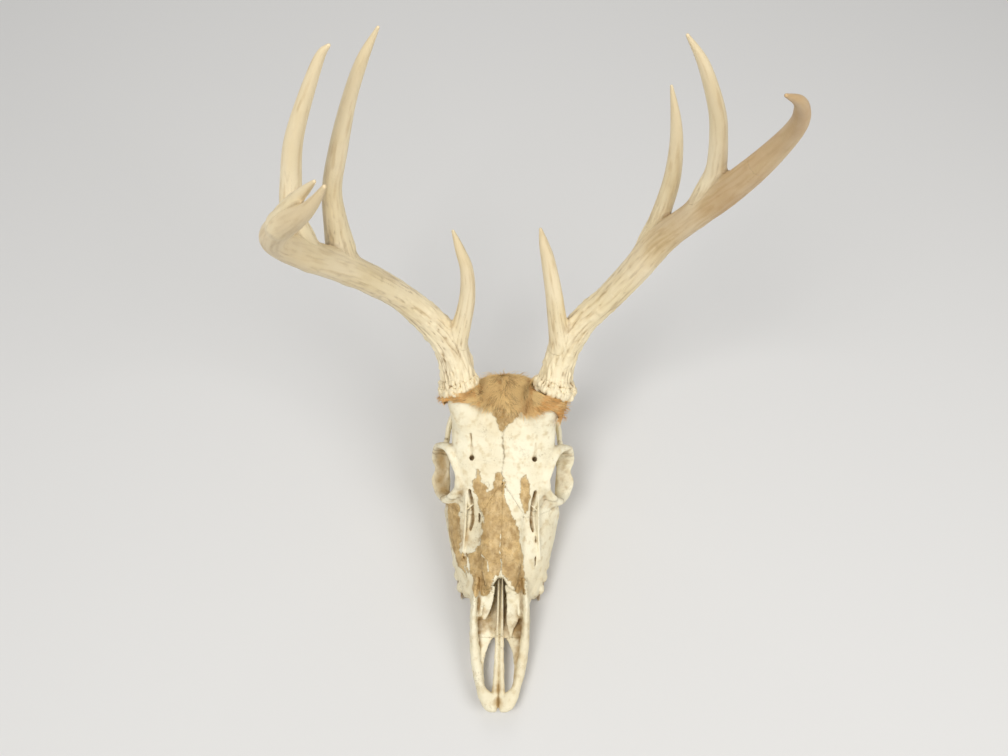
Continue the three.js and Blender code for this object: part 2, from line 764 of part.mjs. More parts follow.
function skullNodes() {
  const bone = wholeSkull().subtract(burrRoom(RIGHT_BEAM)).subtract(burrRoom(LEFT_BEAM));
  const half = (sign) => (sign > 0
    ? block([SUTURE / 2, -20, LOW], [120, 320, HIGH])
    : block([-120, -20, LOW], [-SUTURE / 2, 320, HIGH]));
  const nodes = {};
  const lowered = (rows) => rows.map(([y, w, top, ...rest]) => [y, w, top - NASAL_PLATE, ...rest]);
  const roofCore = joined([
    body(lowered(NASAL_ROOF), { along: 4, around: 12 }),
    body(lowered(FOREHEAD), { along: 7, around: 14 }),
    block([-30, 80, LOW], [30, 180, 44]),
  ]);
  const noseRoom = (inset) => topRegion(noseOutline(inset), 44 + inset, HIGH).subtract(roofCore);
  const nose = bone.intersect(noseRoom(SUTURE));
  const underNose = bone.subtract(noseRoom(0));
  const snout = underNose.intersect(sideRegion(snoutSeam(-SUTURE / 2), -90, 90));
  const behindSnout = underNose.subtract(sideRegion(snoutSeam(SUTURE / 2), -90, 90));
  const face = behindSnout.intersect(sideRegion(faceSeam(-SUTURE / 2), -90, 90));
  const rear = behindSnout.subtract(sideRegion(faceSeam(SUTURE / 2), -90, 90));
  const cheekRoom = (sign, shift) => sideRegion(cheekSeam(shift), sign > 0 ? 43 : -80, sign > 0 ? 80 : -43);
  for (const [name, sign] of [["left", 1], ["right", -1]]) {
    nodes["premaxilla_" + name] = largest(snout.intersect(half(sign)));
    nodes["nasal_bone_" + name] = largest(nose.intersect(half(sign)));
    nodes["maxilla_and_teeth_" + name] = largest(face.intersect(half(sign)));
    nodes["cheek_bone_" + name] = largest(rear.intersect(cheekRoom(sign, SUTURE)));
  }
  nodes.braincase = largest(rear.subtract(cheekRoom(1, 0)).subtract(cheekRoom(-1, 0)));
  const passageFloor = rails(PREMAXILLA_SHELF.map(([y, x, z, w, h]) => [y, x, z, w, h + SUTURE]), {
    along: 6, around: 6,
  });
  nodes.vomer = largest(rail(VOMER, { along: 5, around: 8 }).subtract(passageFloor).subtract(bone));
  return nodes;
}

// ---------------------------------------------------------------- assembly

const rack = [
  ["antler_right_", antler(RIGHT_BEAM, RIGHT_TINES, [4.4, 9.2])],
  ["antler_left_", antler(LEFT_BEAM, LEFT_TINES, [4.4, 9.2])],
];
const bones = skullNodes();
const hide = scalp();

export const part = new THREE.Group();

function place(name, made, look) {
  const mesh = made.getMesh();
  const geometry = new THREE.BufferGeometry();
  geometry.setAttribute("position", new THREE.BufferAttribute(mesh.vertProperties, 3));
  geometry.setIndex(new THREE.BufferAttribute(mesh.triVerts, 1));
  geometry.computeVertexNormals();
  const node = new THREE.Mesh(geometry, new THREE.MeshStandardMaterial(look));
  node.name = name;
  node.position.copy(FOOTPRINT).negate();
  part.add(node);
}

for (const [name, made] of Object.entries(bones)) place(name, made, BONE);
place("scalp", hide, HIDE);
for (const [prefix, nodes] of rack) {
  for (const [name, made] of Object.entries(nodes)) place(prefix + name, made, ANTLER);
}

export default part;
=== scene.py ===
import math
from functools import reduce
from itertools import product

import bpy
import numpy as np
from mathutils import Color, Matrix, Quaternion, Vector


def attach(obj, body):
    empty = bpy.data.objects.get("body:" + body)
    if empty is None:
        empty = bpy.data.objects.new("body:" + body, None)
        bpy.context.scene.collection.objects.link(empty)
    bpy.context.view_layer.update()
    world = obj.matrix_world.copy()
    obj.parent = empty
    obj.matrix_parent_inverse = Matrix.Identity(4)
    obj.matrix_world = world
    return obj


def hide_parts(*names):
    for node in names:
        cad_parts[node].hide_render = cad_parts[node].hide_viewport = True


bl_info = {
    "name": "Deer skull",
    "version": (1, 0, 0),
    "blender": (4, 5, 0),
    "location": "3D View > Sidebar > Skull",
    "description": "A white-tailed buck's skull with its antlers and a dried strip of scalp",
    "category": "Add Mesh",
}

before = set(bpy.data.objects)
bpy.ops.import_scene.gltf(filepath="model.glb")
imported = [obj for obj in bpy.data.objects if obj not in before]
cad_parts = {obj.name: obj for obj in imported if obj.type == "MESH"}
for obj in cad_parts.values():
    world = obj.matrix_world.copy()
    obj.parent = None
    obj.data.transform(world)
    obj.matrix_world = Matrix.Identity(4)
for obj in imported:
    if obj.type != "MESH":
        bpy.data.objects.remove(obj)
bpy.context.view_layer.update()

# The skull is drawn in millimetres, with y running back from the tip of the nose, x to the
# animal's left and z up from the surface it lies on. The frame's origin is the middle of the
# footprint.
FOOTPRINT = np.array([3.99, 152.55, 0.0])

# The boxes that the grids fill, as two opposite corners, and the spacings that aren't on the panel.
SKULL_BOX = ((-66, -3, -3), (66, 291, 132))
VOMER_BOX = ((-6, 58, 14), (6, 132, 64))
SCALP_BOX = ((-66, 202, 84), (66, 282, 137))
FINE_STEP, SCALP_STEP = 0.6, 0.9
AIR = 9  # the distance that an empty grid starts with

# ------------------------------------------------------------------ sizes of the skull

# Bodies whose sections stand across y: y, half width, top, bottom, the height where it is
# widest and its bulge, where 2 is an ellipse, more is boxier and less is peaked.
BRAINCASE = [
    [188, 30, 94, 52, 72, 2.3], [206, 37, 105, 42, 70, 2.4], [222, 40, 111, 36, 68, 2.3],
    [238, 40, 110, 32, 64, 2.2], [252, 39, 103, 30, 60, 2.2], [264, 38, 93, 30, 56, 2.3],
    [272, 35, 81, 31, 52, 2.4], [278, 25, 68, 34, 48, 2.4],
]
FOREHEAD = [
    [150, 22, 73, 50, 60, 2.2], [164, 33, 80, 56, 68, 2.3], [178, 38, 88, 62, 78, 2.4],
    [192, 40, 96, 66, 85, 2.5], [206, 43.5, 105, 66, 90, 2.5], [219, 44, 113, 66, 94, 2.6],
    [230, 43, 116, 66, 95, 2.6], [241, 36, 111, 70, 90, 2.3],
]
NASAL_ROOF = [
    [91, 12, 56, 44, 49, 2.4], [104, 15, 60, 36, 51, 2.6], [122, 17, 65, 34, 55, 2.6],
    [142, 18, 72, 38, 61, 2.5], [160, 18, 79, 46, 68, 2.4], [174, 17, 86, 56, 76, 2.2],
]
FACE = [
    [74, 23, 38, 14, 21, 2.3], [90, 26, 47, 13, 22, 2.0], [104, 33, 53, 13, 22, 1.8],
    [120, 40, 59, 13, 24, 1.7], [138, 45, 66, 14, 27, 1.7], [154, 48.5, 73, 16, 32, 1.75],
    [167, 50, 79, 22, 40, 1.9], [177, 40, 82, 32, 52, 2.0],
]
INTERORBITAL = [[164, 26, 80, 34, 60, 2.2], [182, 17, 90, 36, 66, 2.4], [200, 19, 96, 36, 66, 2.4]]
NOSE_PASSAGE = [
    [70, 15, 46, 17.5, 30, 2.2], [92, 14, 52, 18.5, 35, 2.2], [112, 12, 53, 24, 38, 2.2],
    [136, 8, 52, 30, 41, 2.0],
]
PALATE_VAULT = [
    [80, 13, 14, -4, 2, 2.4], [104, 22, 18, -4, 3, 2.4], [140, 25.5, 20, -4, 4, 2.4],
    [182, 25, 21, -4, 4, 2.4],
]

# Rails along y with an oval section: y, its middle x and z, half width and half height.
PREMAXILLA = [
    [1, 4.4, 13.5, 3.2, 2.4], [4, 6.6, 14, 5.4, 3.6], [10, 8.4, 14, 7, 4.3], [14, 10, 14, 7, 4.4],
    [21, 14.9, 14.5, 3.8, 4.4], [34, 18, 15.5, 4.2, 4.6], [48, 20.2, 18, 4.1, 6.2],
    [62, 21.6, 22.5, 3.5, 9], [76, 21.8, 28.5, 3.2, 12], [90, 21, 35, 3.2, 12], [102, 19.5, 42, 3, 8],
]
PREMAXILLA_SHELF = [
    [12, 12.6, 13, 3.2, 2.4], [30, 15.3, 13.2, 2.9, 2], [46, 15.8, 14.4, 4.2, 2],
    [57, 14.4, 15.6, 7, 2.2], [64, 11.8, 16.6, 10.4, 2.6], [78, 12, 17.6, 11.6, 3],
    [94, 12, 18.5, 12, 3.4],
]
PALATINE_PROCESS = [
    [4, 2.9, 13.5, 2.6, 3.2], [16, 2.8, 14, 2.6, 3.2], [28, 2.4, 14.5, 2.2, 2.9],
    [46, 2.1, 16, 1.9, 3], [66, 2.0, 18.5, 1.8, 3.6],
]
VOMER = [
    [60, 1.9, 20.5, 1.3, 3], [66, 1.9, 23.5, 1.2, 4.4], [80, 1.8, 28, 1.1, 7], [100, 1.7, 34, 1.1, 13],
    [128, 1.5, 40, 1.1, 17],
]
VOMER_FOOT = [[62, 0, 20, 2.2, 1.6], [80, 0, 24, 2.2, 3.4], [100, 0, 28, 2, 7], [128, 0, 32, 2, 9]]
TURBINATE_LEFT = [
    [60, 9.4, 18.8, 1, 0.8], [66, 9.4, 22.6, 2.6, 1.2], [72, 10.4, 27.6, 5, 1.5], [80, 10.8, 34, 5.4, 1.8],
    [86, 9.8, 39.5, 4.6, 1.8], [96, 9.4, 48.5, 6, 2.8],
]
TURBINATE_RIGHT = [
    [72, -13.6, 26, 1.2, 0.8], [77, -12.4, 30, 3.4, 1.4], [84, -11, 36.6, 4.8, 1.8],
    [95, -10, 47.5, 5.8, 2.8],
]
CHEEK_RIDGE = [
    [184, 54, 47, 4.4, 5], [166, 50, 42, 4.6, 7], [148, 44.5, 35, 3.6, 7.5], [130, 37, 29, 3.4, 7],
]
PTERYGOID = [
    [168, 15.5, 30, 3, 12], [184, 14.5, 27, 1.8, 12], [200, 13.5, 28, 1.8, 10], [212, 12.5, 34, 2.4, 6],
]
NASAL_VALLEY = [[96, 25.5, 53, 4, 3], [120, 26.5, 60, 5, 4], [145, 27.5, 70, 5, 4], [160, 27, 78, 4, 3]]
SKULL_BASE = [[186, 0, 42, 9, 5], [214, 0, 37, 9, 5], [244, 0, 32, 12, 5], [272, 0, 32, 15, 6]]
SOCKET_RIDGE = [
    [94, 27, 22, 4.4, 8.5], [112, 31.6, 22, 6.4, 9], [134, 35, 22, 7.8, 9], [156, 35.4, 23, 8.6, 10],
    [177, 33.8, 26, 6.6, 12],
]

# Bars along a curve: x, y, z, half width across the guide and half thickness along it.
ORBIT_RIM = [
    [41.4, 187, 86.5, 1.6, 2.4], [46, 200, 88.4, 2.8, 4.2], [52.4, 208.4, 77.8, 3.2, 7.2],
    [54.4, 205, 61.5, 3.2, 8.4], [54, 197.5, 54.6, 3.2, 7], [54.4, 188.3, 49.4, 3.4, 8.2],
    [51.6, 176, 48.4, 3.6, 6.2], [45.5, 166.8, 59.5, 3.4, 5.2], [37.6, 172.5, 76.5, 1.8, 2.4],
]
FACE_WINDOW = [
    [27.6, 167.7, 77, 1.4, 6], [26.6, 160, 72.5, 2.1, 6], [26.9, 152, 67.5, 1.7, 6], [26.4, 146, 62, 2.1, 6],
    [26.9, 140.6, 56.5, 1.2, 5],
]
FACE_WINDOW_STRUT = [
    [23.5, 160, 68, 0.9, 0.9], [27.6, 156.5, 67.5, 0.7, 0.8], [30.5, 154.5, 65.5, 0.8, 0.8],
]
SMALL_WINDOWS = {
    1: [
        [[27.3, 202, 100, 0.6, 1.3], [27, 196.5, 97, 0.5, 1.2]],
        [[28.8, 121.5, 44.5, 0.9, 3], [28.6, 115.5, 41.5, 0.7, 3]],
        [[28.7, 137, 52.6, 0.5, 2], [28.7, 133, 50.2, 0.4, 2]],
    ],
    -1: [
        [[27.4, 208, 103.6, 0.5, 1.4], [27.2, 202, 100.2, 0.6, 1.4], [26.8, 195.5, 96.4, 0.5, 1.3]],
        [[18.6, 151, 66.6, 0.8, 4], [18.9, 145.5, 63.2, 0.7, 4]],
        [[29.6, 122.6, 45, 1.2, 2], [28.9, 121.6, 46, 1, 2]],
        [[31.8, 121.4, 42, 0.8, 2], [31.4, 120.6, 42.5, 0.7, 2]],
    ],
}
FACE_RIDGE = [
    [30.6, 166, 74, 1, 1.8], [30.8, 150, 64.5, 1, 1.9], [31.6, 135, 53, 1, 1.9], [33, 121, 42, 0.9, 1.6],
]
CHEEK_ARCH = [
    [55, 199, 55, 4.6, 5], [54.5, 212, 53, 3, 6], [51, 226, 52, 2.4, 5.2], [49.5, 240, 53, 2.6, 5],
    [44, 251, 53, 4.2, 5.6], [32, 255, 52, 7, 6.4],
]
PEDICLE = [[27, 211, 91, 11, 15], [31.4, 223, 106.5, 12, 13.4], [37.3, 238, 126.2, 12.8, 12.8]]
JUGULAR_PROCESS = [
    [29, 260, 44, 6.5, 10], [28.8, 264, 27, 4.4, 7.6], [28, 265.5, 11, 3.2, 5.4], [27.5, 265, -1, 2.8, 4.6],
]
NAPE_CREST = [
    [36.5, 256, 57, 3.2, 4.6], [31, 267, 69, 3.2, 4.2], [16, 273.5, 76.5, 3.2, 3.6], [-4, 275, 78, 3.4, 3.6],
]
# The groove and the hole for the nerve above each eye.
BROW_GROOVE = [[26.7, 192, 95, 1.5, 2.4], [27.6, 198, 99, 1.3, 1.6], [27.8, 207, 104.5, 0.9, 1.0]]
BROW_HOLE = [[26.6, 190, 98, 2.3, 2.3], [26.2, 192, 86, 2.0, 2.0]]

# Eggs: the left one's middle, its half lengths and its turn in degrees.
EYE_SOCKET = ([52, 189, 64], [32, 18.5, 21.5], [0, 0, -8])
TEMPLE = ([51, 222, 66], [11, 24, 26], [0, 0, 6])
SOCKET_PLATE = ([57.5, 189, 70.4], [19.5, 17, 19.4], [0, 0, -8])
SOCKET_CORNER = ([37, 173.5, 77.5], [3, 4, 3], [0, 0, 0])
THROAT = ([0, 200, 24], [10.5, 36, 13], [0, 0, 0])
SPINE_HOLE = ([0, 281, 45], [8.5, 14, 9], [-15, 0, 0])
NECK_JOINT = ([12.5, 277, 40], [7.6, 7, 10.5], [-20, 0, 0])
EAR_BULB = ([22, 246, 31], [6.5, 10, 8], [0, 0, 0])

# Cheek teeth: where the row starts, each one's length and half width, and the row's curve in x, y.
TOOTH_ROW_START = 97.0
TOOTH_TOP = 18.5
TEETH = [[10.4, 5.4], [11.2, 6.2], [11.2, 6.8], [13.4, 7.2], [15.2, 7.5], [14.8, 7.1]]
ARCADE = [[27.6, 97], [30.6, 108], [33.2, 120], [35.0, 134], [35.6, 150], [34.2, 176]]

# Outlines where the skull's bones meet. The first four are seen from the side as y, z, and the
# last from above as x, y.
FAR = 200  # past the end of the skull
SNOUT_SEAM = [[-20, -20], [60, -20], [60, 24], [96, 49], [96, FAR], [-20, FAR]]
FACE_SEAM = [[-20, -20], [176, -20], [176, 34], [166, 52], [150, 62], [146, 90], [146, FAR], [-20, FAR]]
CHEEK_SEAM = [[172, 38], [166, 56], [182, 62], [200, 68], [212, 68], [226, 58], [226, 40], [200, 36]]
FRONTAL_SEAM = [
    [140, 66], [160, 63], [176, 66], [196, 71], [214, 76], [232, 84], [245, 98], [247, 120],
    [247, FAR], [140, FAR],
]
NOSE_SEAM = [[13, 80], [17, 120], [17.5, 150], [0, 172], [-17.5, 150], [-17, 120], [-13, 80]]
NASAL_PLATE = 4.0  # how thick the nose bones are
SEAM_GAP = np.float32(0.012)  # half of the gap between two bones

# ------------------------------------------------------------------ sizes of the antlers

# Each row holds x, y, z and radius, from root to tip.
RIGHT_ANTLER = {
    "beam": [
        [-38, 239.9, 128.1, 13.4], [-41.5, 253.6, 144.1, 13.2], [-47.8, 263.2, 161.2, 12.8],
        [-62.3, 269.6, 183.4, 11.8], [-82, 270.1, 213.7, 10.6], [-100.5, 262, 246, 10.8],
        [-116.8, 250.6, 276.3, 11], [-130.9, 236.6, 305.2, 10.6], [-140.9, 225, 330, 9.9],
        [-141.5, 213.6, 352, 8.9], [-132.4, 202.1, 375.4, 7.9], [-119.5, 191.4, 395.7, 6.7],
        [-107.9, 182.4, 413.6, 4.6], [-99, 177.1, 429, 3], [-91.4, 173.2, 444.1, 1.2],
    ],
    "brow_tine": [
        [-43, 258.5, 152, 9.5], [-34.6, 270, 182, 7.2], [-30.6, 277, 206, 6.2],
        [-30.6, 282, 232, 5.1], [-35.3, 286.6, 250.9, 3.7], [-40.1, 291.1, 267.3, 1.2],
    ],
    "second_tine": [
        [-112.5, 254, 264, 7.4], [-116, 260, 281, 10], [-117.5, 266.3, 301.5, 8.2],
        [-115.7, 269.3, 333.3, 6.5], [-107, 272, 367.2, 5.9], [-95.1, 274.6, 405.6, 4.5],
        [-83.6, 274.2, 435.4, 3.4], [-71.8, 271.9, 459.5, 1],
    ],
    "third_tine": [
        [-131, 236, 303, 7], [-135, 239.5, 320, 9.3], [-137.2, 242.9, 338.9, 7.4], [-133, 247, 366.6, 6.5],
        [-124, 249, 403, 5.4], [-102.7, 249.9, 453.7, 3.1], [-94.1, 248.4, 466.8, 1],
    ],
    "fourth_tine": [
        [-129.5, 199.2, 382.9, 6.8], [-122.5, 198, 396.5, 5.6], [-114, 194.5, 411, 3.8],
        [-106.5, 191, 422, 2.6], [-100, 187, 432.4, 1.1],
    ],
}
LEFT_ANTLER = {
    "beam": [
        [42, 239.9, 128.1, 13.4], [44.5, 255.2, 145, 12.2], [50.3, 264.6, 159.7, 11.7],
        [63.3, 274.1, 181.3, 11], [79.2, 277.4, 206.3, 10.4], [95.8, 279.7, 240, 10.7],
        [110.4, 280.5, 275.1, 10.4], [123.6, 273.4, 308, 9.8], [137, 264.2, 341.9, 9.8],
        [147.4, 252.2, 378.9, 8.4], [153.4, 241.2, 411.8, 6.5], [153, 229.6, 437.4, 5.3],
        [147.8, 219.3, 456.5, 4.3], [139.6, 207.8, 473.3, 3], [127.7, 196, 487.3, 1],
    ],
    "brow_tine": [
        [47, 258, 150, 9.5], [41, 270.5, 183, 7.6], [36.5, 280, 210, 6.6],
        [30.7, 288.7, 238.3, 5.2], [27, 291.6, 253.8, 3.7], [23.8, 294.7, 267.2, 1.2],
    ],
    "second_tine": [
        [100, 281.5, 248, 7], [104.5, 288, 266, 8.6], [107.5, 292, 284, 6.9], [110.9, 296.6, 316.7, 5.9],
        [109.4, 298.9, 345.8, 4.7], [105.3, 300.9, 370, 3.4], [98.1, 302.4, 396.3, 1],
    ],
    "third_tine": [
        [126, 271, 313, 6.3], [129.5, 271.8, 334, 8.4], [130.9, 272.4, 355.9, 6.6],
        [126.8, 272.1, 382.2, 5.6], [120.2, 270.3, 407.8, 5], [105, 265.6, 444, 3.4],
        [91.1, 261.2, 467.2, 1],
    ],
}
FORKS = (4.4, 9.2)  # the rows of each beam beside which it is parted
HORN_GUIDE = (0.35, -0.9, 0.2)  # a direction that no horn runs along, which steadies its cross directions
HORN_STEP = 1.6  # how far apart the places are that the relief is laid out from
PEDICLE_END, BURR_REACH = 3.5, 24  # the pedicle's end below a beam's root, and the room round it

# ------------------------------------------------------------------ shapes as distances


def through(rows, u):
    """A smooth curve through evenly counted rows of numbers, at each u from 0 to 1."""
    rows = np.asarray(rows, float)
    last = len(rows) - 1
    place = np.clip(np.asarray(u, float) * last, 0, last - 1e-9)
    i = place.astype(int)
    t = (place - i)[..., None]
    a, b, c, d = (rows[np.clip(i + k, 0, last)] for k in (-1, 0, 1, 2))
    return b + 0.5 * t * (c - a + t * (2 * a - 5 * b + 4 * c - d + t * (3 * (b - c) + d - a)))


def highest(*distances):
    """The overlap of several shapes: the highest of their distances."""
    return reduce(np.maximum, distances)


def unit(v):
    """Directions at a length of one."""
    return v / np.maximum(np.linalg.norm(v, axis=-1, keepdims=True), 1e-6)


def cross_directions(centre, guide):
    """The unit directions along a curve, and the two across it, of which one is square to a guide."""
    ahead = unit(np.gradient(centre, axis=0))
    side = unit(np.cross(ahead, guide))
    return ahead, side, np.cross(side, ahead)


def merge(a, b, blend):
    """The lower of two distances, with the corner between them filled over this blend."""
    near = np.maximum(blend - np.abs(a - b), 0)
    return np.minimum(a, b) - near * near / (4 * blend)


class Clay:
    """A block of distances in millimetres on an even grid: below nought is inside the material."""

    def __init__(self, low, high, step):
        self.low, self.step = np.array(low, float), step
        self.count = np.ceil((np.array(high) - self.low) / step).astype(int) + 1
        self.d = np.full(self.count, AIR, np.float32)

    def window(self, low, high):
        """The grid's slice between two corners, with its x, y and z ready to be combined."""
        first = np.floor((np.array(low) - self.low) / self.step).astype(int)
        last = np.ceil((np.array(high) - self.low) / self.step).astype(int) + 1
        first, last = np.clip(first, 0, self.count - 1), np.clip(last, 1, self.count)
        axes = [
            (self.low[k] + self.step * np.arange(first[k], last[k])).astype(np.float32) for k in range(3)
        ]
        place = tuple(slice(a, b) for a, b in zip(first, last))
        return place, axes[0][:, None, None], axes[1][None, :, None], axes[2][None, None, :]

    def whole(self):
        """The x, y and z of the whole grid, ready to be combined."""
        return self.window(self.low, self.low + self.step * self.count)[1:]

    def add(self, shape, blend, sign=1):
        """Joins a shape on, with a fillet of about this blend."""
        low, high, distance = shape
        place, x, y, z = self.window(np.array(low) - blend - 1, np.array(high) + blend + 1)
        self.d[place] = sign * merge(sign * self.d[place], distance(x, y, z), blend)

    def cut(self, shape, blend):
        """Takes a shape away, with its edge rounded over about this blend."""
        self.add(shape, blend, -1)


def body(rows, grow=0.0):
    """A body along y: on each section's rays, how far a point lies past a rounded outline."""
    curve = through(rows, np.linspace(0, 1, 240))
    y0, y1, wide = curve[0, 0], curve[-1, 0], curve[:, 1].max() + grow

    def distance(x, y, z):
        half, top, bottom, widest, bulge = (
            np.interp(y, curve[:, 0], curve[:, k]).astype(np.float32) for k in range(1, 6)
        )
        tall = np.where(z > widest, top + grow - widest, widest - bottom)
        out = (np.abs(x) / (half + grow)) ** bulge + (np.abs(z - widest) / tall) ** bulge
        out = np.maximum(out, 1e-4) ** (1 / bulge)
        ray = np.sqrt(x * x + (z - widest) ** 2)
        return highest(ray * (1 - 1 / out), y0 - y, y - y1)

    low = (-wide - 3, y0 - 3, curve[:, 3].min() - 3)
    return low, (wide + 3, y1 + 3, curve[:, 2].max() + grow + 3), distance


def rail(rows, sign=1, grow=0.0):
    """A rail along y with an oval section, whose distance is read along the section's rays."""
    rows = np.array(rows, float) * [1, sign, 1, 1, 1]
    curve = through(rows, np.linspace(0, 1, 160)) + [0, 0, 0, grow, grow]

    def distance(x, y, z):
        cx, cz, wide, high = (
            np.interp(y, curve[:, 0], curve[:, k]).astype(np.float32) for k in range(1, 5)
        )
        out = np.sqrt(((x - cx) / wide) ** 2 + ((z - cz) / high) ** 2) + 1e-3
        ray = np.sqrt((x - cx) ** 2 + (z - cz) ** 2)
        ends = np.maximum(curve[0, 0] - y, y - curve[-1, 0])
        return -merge(-ray * (1 - 1 / out), -ends, 1.5)

    low, high = (curve[:, 1:3] - curve[:, 3:]).min(axis=0), (curve[:, 1:3] + curve[:, 3:]).max(axis=0)
    low, high = (low[0], curve[0, 0], low[1]), (high[0], curve[-1, 0], high[1])
    return np.array(low) - 2, np.array(high) + 2, distance


def bar(rows, sign=1, guide=(0, 0, 1), closed=False, pieces=36, grow=0.0):
    """A bar along a curve: the nearest place on it, then how far past the oval section there."""
    rows = np.array(rows, float) * [sign, 1, 1, 1, 1] + [0, 0, 0, grow, grow]
    u = np.linspace(0, 1, pieces + 1)
    if closed:
        ring = np.concatenate([rows[-2:], rows, rows[:3]])
        curve = through(ring, (2 + u * len(rows)) / (len(ring) - 1))
    else:
        curve = through(rows, u)
    centre, size = curve[:, :3], curve[:, 3:]
    ahead, side, rise = cross_directions(centre, np.array(guide, float) * [sign, 1, 1])

    def distance(x, y, z):
        shape = np.broadcast_shapes(x.shape, y.shape, z.shape)
        nearest = np.full(shape, 1e9, np.float32)
        out = np.ones(shape, np.float32)
        for k in range(pieces):
            step = (centre[k + 1] - centre[k]).astype(np.float32)
            px, py, pz = x - centre[k, 0], y - centre[k, 1], z - centre[k, 2]
            t = np.clip((px * step[0] + py * step[1] + pz * step[2]) / (step @ step), 0, 1)
            px, py, pz = px - t * step[0], py - t * step[1], pz - t * step[2]
            far = px * px + py * py + pz * pz
            wide = size[k, 0] + t * (size[k + 1, 0] - size[k, 0])
            thin = size[k, 1] + t * (size[k + 1, 1] - size[k, 1])
            a = (px * side[k, 0] + py * side[k, 1] + pz * side[k, 2]) / wide
            b = (px * rise[k, 0] + py * rise[k, 1] + pz * rise[k, 2]) / thin
            along = px * ahead[k, 0] + py * ahead[k, 1] + pz * ahead[k, 2]
            c = along / np.minimum(wide, thin)
            closer = far < nearest
            nearest = np.where(closer, far, nearest)
            out = np.where(closer, a * a + b * b + c * c, out)
        out = np.sqrt(out) + 1e-3
        return np.sqrt(nearest) * (1 - 1 / out)

    reach = size.max(axis=1, keepdims=True)
    return (centre - reach).min(axis=0) - 2, (centre + reach).max(axis=0) + 2, distance


def turned(turn, sign=1):
    """The rotation of an egg from its pitch, roll and yaw in degrees."""
    a, b, c = (math.radians(v) for v in (turn[0], sign * turn[1], sign * turn[2]))
    pitch = np.array([[1, 0, 0], [0, math.cos(a), -math.sin(a)], [0, math.sin(a), math.cos(a)]])
    roll = np.array([[math.cos(b), 0, math.sin(b)], [0, 1, 0], [-math.sin(b), 0, math.cos(b)]])
    yaw = np.array([[math.cos(c), -math.sin(c), 0], [math.sin(c), math.cos(c), 0], [0, 0, 1]])
    return pitch @ roll @ yaw


def egg(middle, half, turn=(0, 0, 0), sign=1):
    """An egg: a point's distance from its middle, less that of the surface on the same ray."""
    middle = np.array(middle, float) * [sign, 1, 1]
    spin, half = turned(turn, sign).astype(np.float32), np.array(half, np.float32)

    def distance(x, y, z):
        px, py, pz = x - middle[0], y - middle[1], z - middle[2]
        own = [(px * spin[0, k] + py * spin[1, k] + pz * spin[2, k]) / half[k] for k in range(3)]
        out = np.sqrt(own[0] ** 2 + own[1] ** 2 + own[2] ** 2) + 1e-3
        return np.sqrt(px * px + py * py + pz * pz) * (1 - 1 / out)

    reach = np.sqrt(spin**2 @ half**2)
    return middle - reach - 2, middle + reach + 2, distance


def beside_line(points, u, v):
    """How far (u, v) lies from the nearest straight piece between these points in turn."""
    nearest = np.inf
    for (u0, v0), (u1, v1) in zip(points, points[1:]):
        du, dv = u1 - u0, v1 - v0
        t = np.clip(((u - u0) * du + (v - v0) * dv) / (du * du + dv * dv), 0, 1)
        nearest = np.minimum(nearest, (u - u0 - t * du) ** 2 + (v - v0 - t * dv) ** 2)
    return np.sqrt(nearest)


def outline_distance(points, u, v):
    """How far (u, v) lies outside a closed outline; below nought is inside it."""
    inside = False
    ring = [*points, points[0]]
    for (u0, v0), (u1, v1) in zip(ring, ring[1:]):
        beside = u < (u1 - u0) * (v - v0) / (v1 - v0 or 1e-9) + u0
        inside = inside ^ (((v0 > v) != (v1 > v)) & beside)
    return np.where(inside, -1, 1) * beside_line(ring, u, v)


def grain(points, size, seed):
    """Smooth random numbers from -1 to 1: one at each corner of an even lattice, eased between."""
    place = np.asarray(points, float) / size
    cell = np.floor(place).astype(np.int64)
    t = place - cell
    t = t * t * (3 - 2 * t)
    total = 0
    for corner in product((0, 1), repeat=3):
        c = cell + corner
        h = (c[..., 0] * 73856093) ^ (c[..., 1] * 19349663) ^ (c[..., 2] * 83492791) ^ (seed * 2654435761)
        h = h & 0xFFFFFFFF
        h = ((h ^ (h >> 13)) * 1274126177) & 0xFFFFFFFF
        h = ((h ^ (h >> 16)) * 2246822519) & 0xFFFFFFFF
        value = (h ^ (h >> 15)) / 0xFFFFFFFF * 2 - 1
        total = total + value * np.prod(np.where(corner, t, 1 - t), axis=-1)
    return total


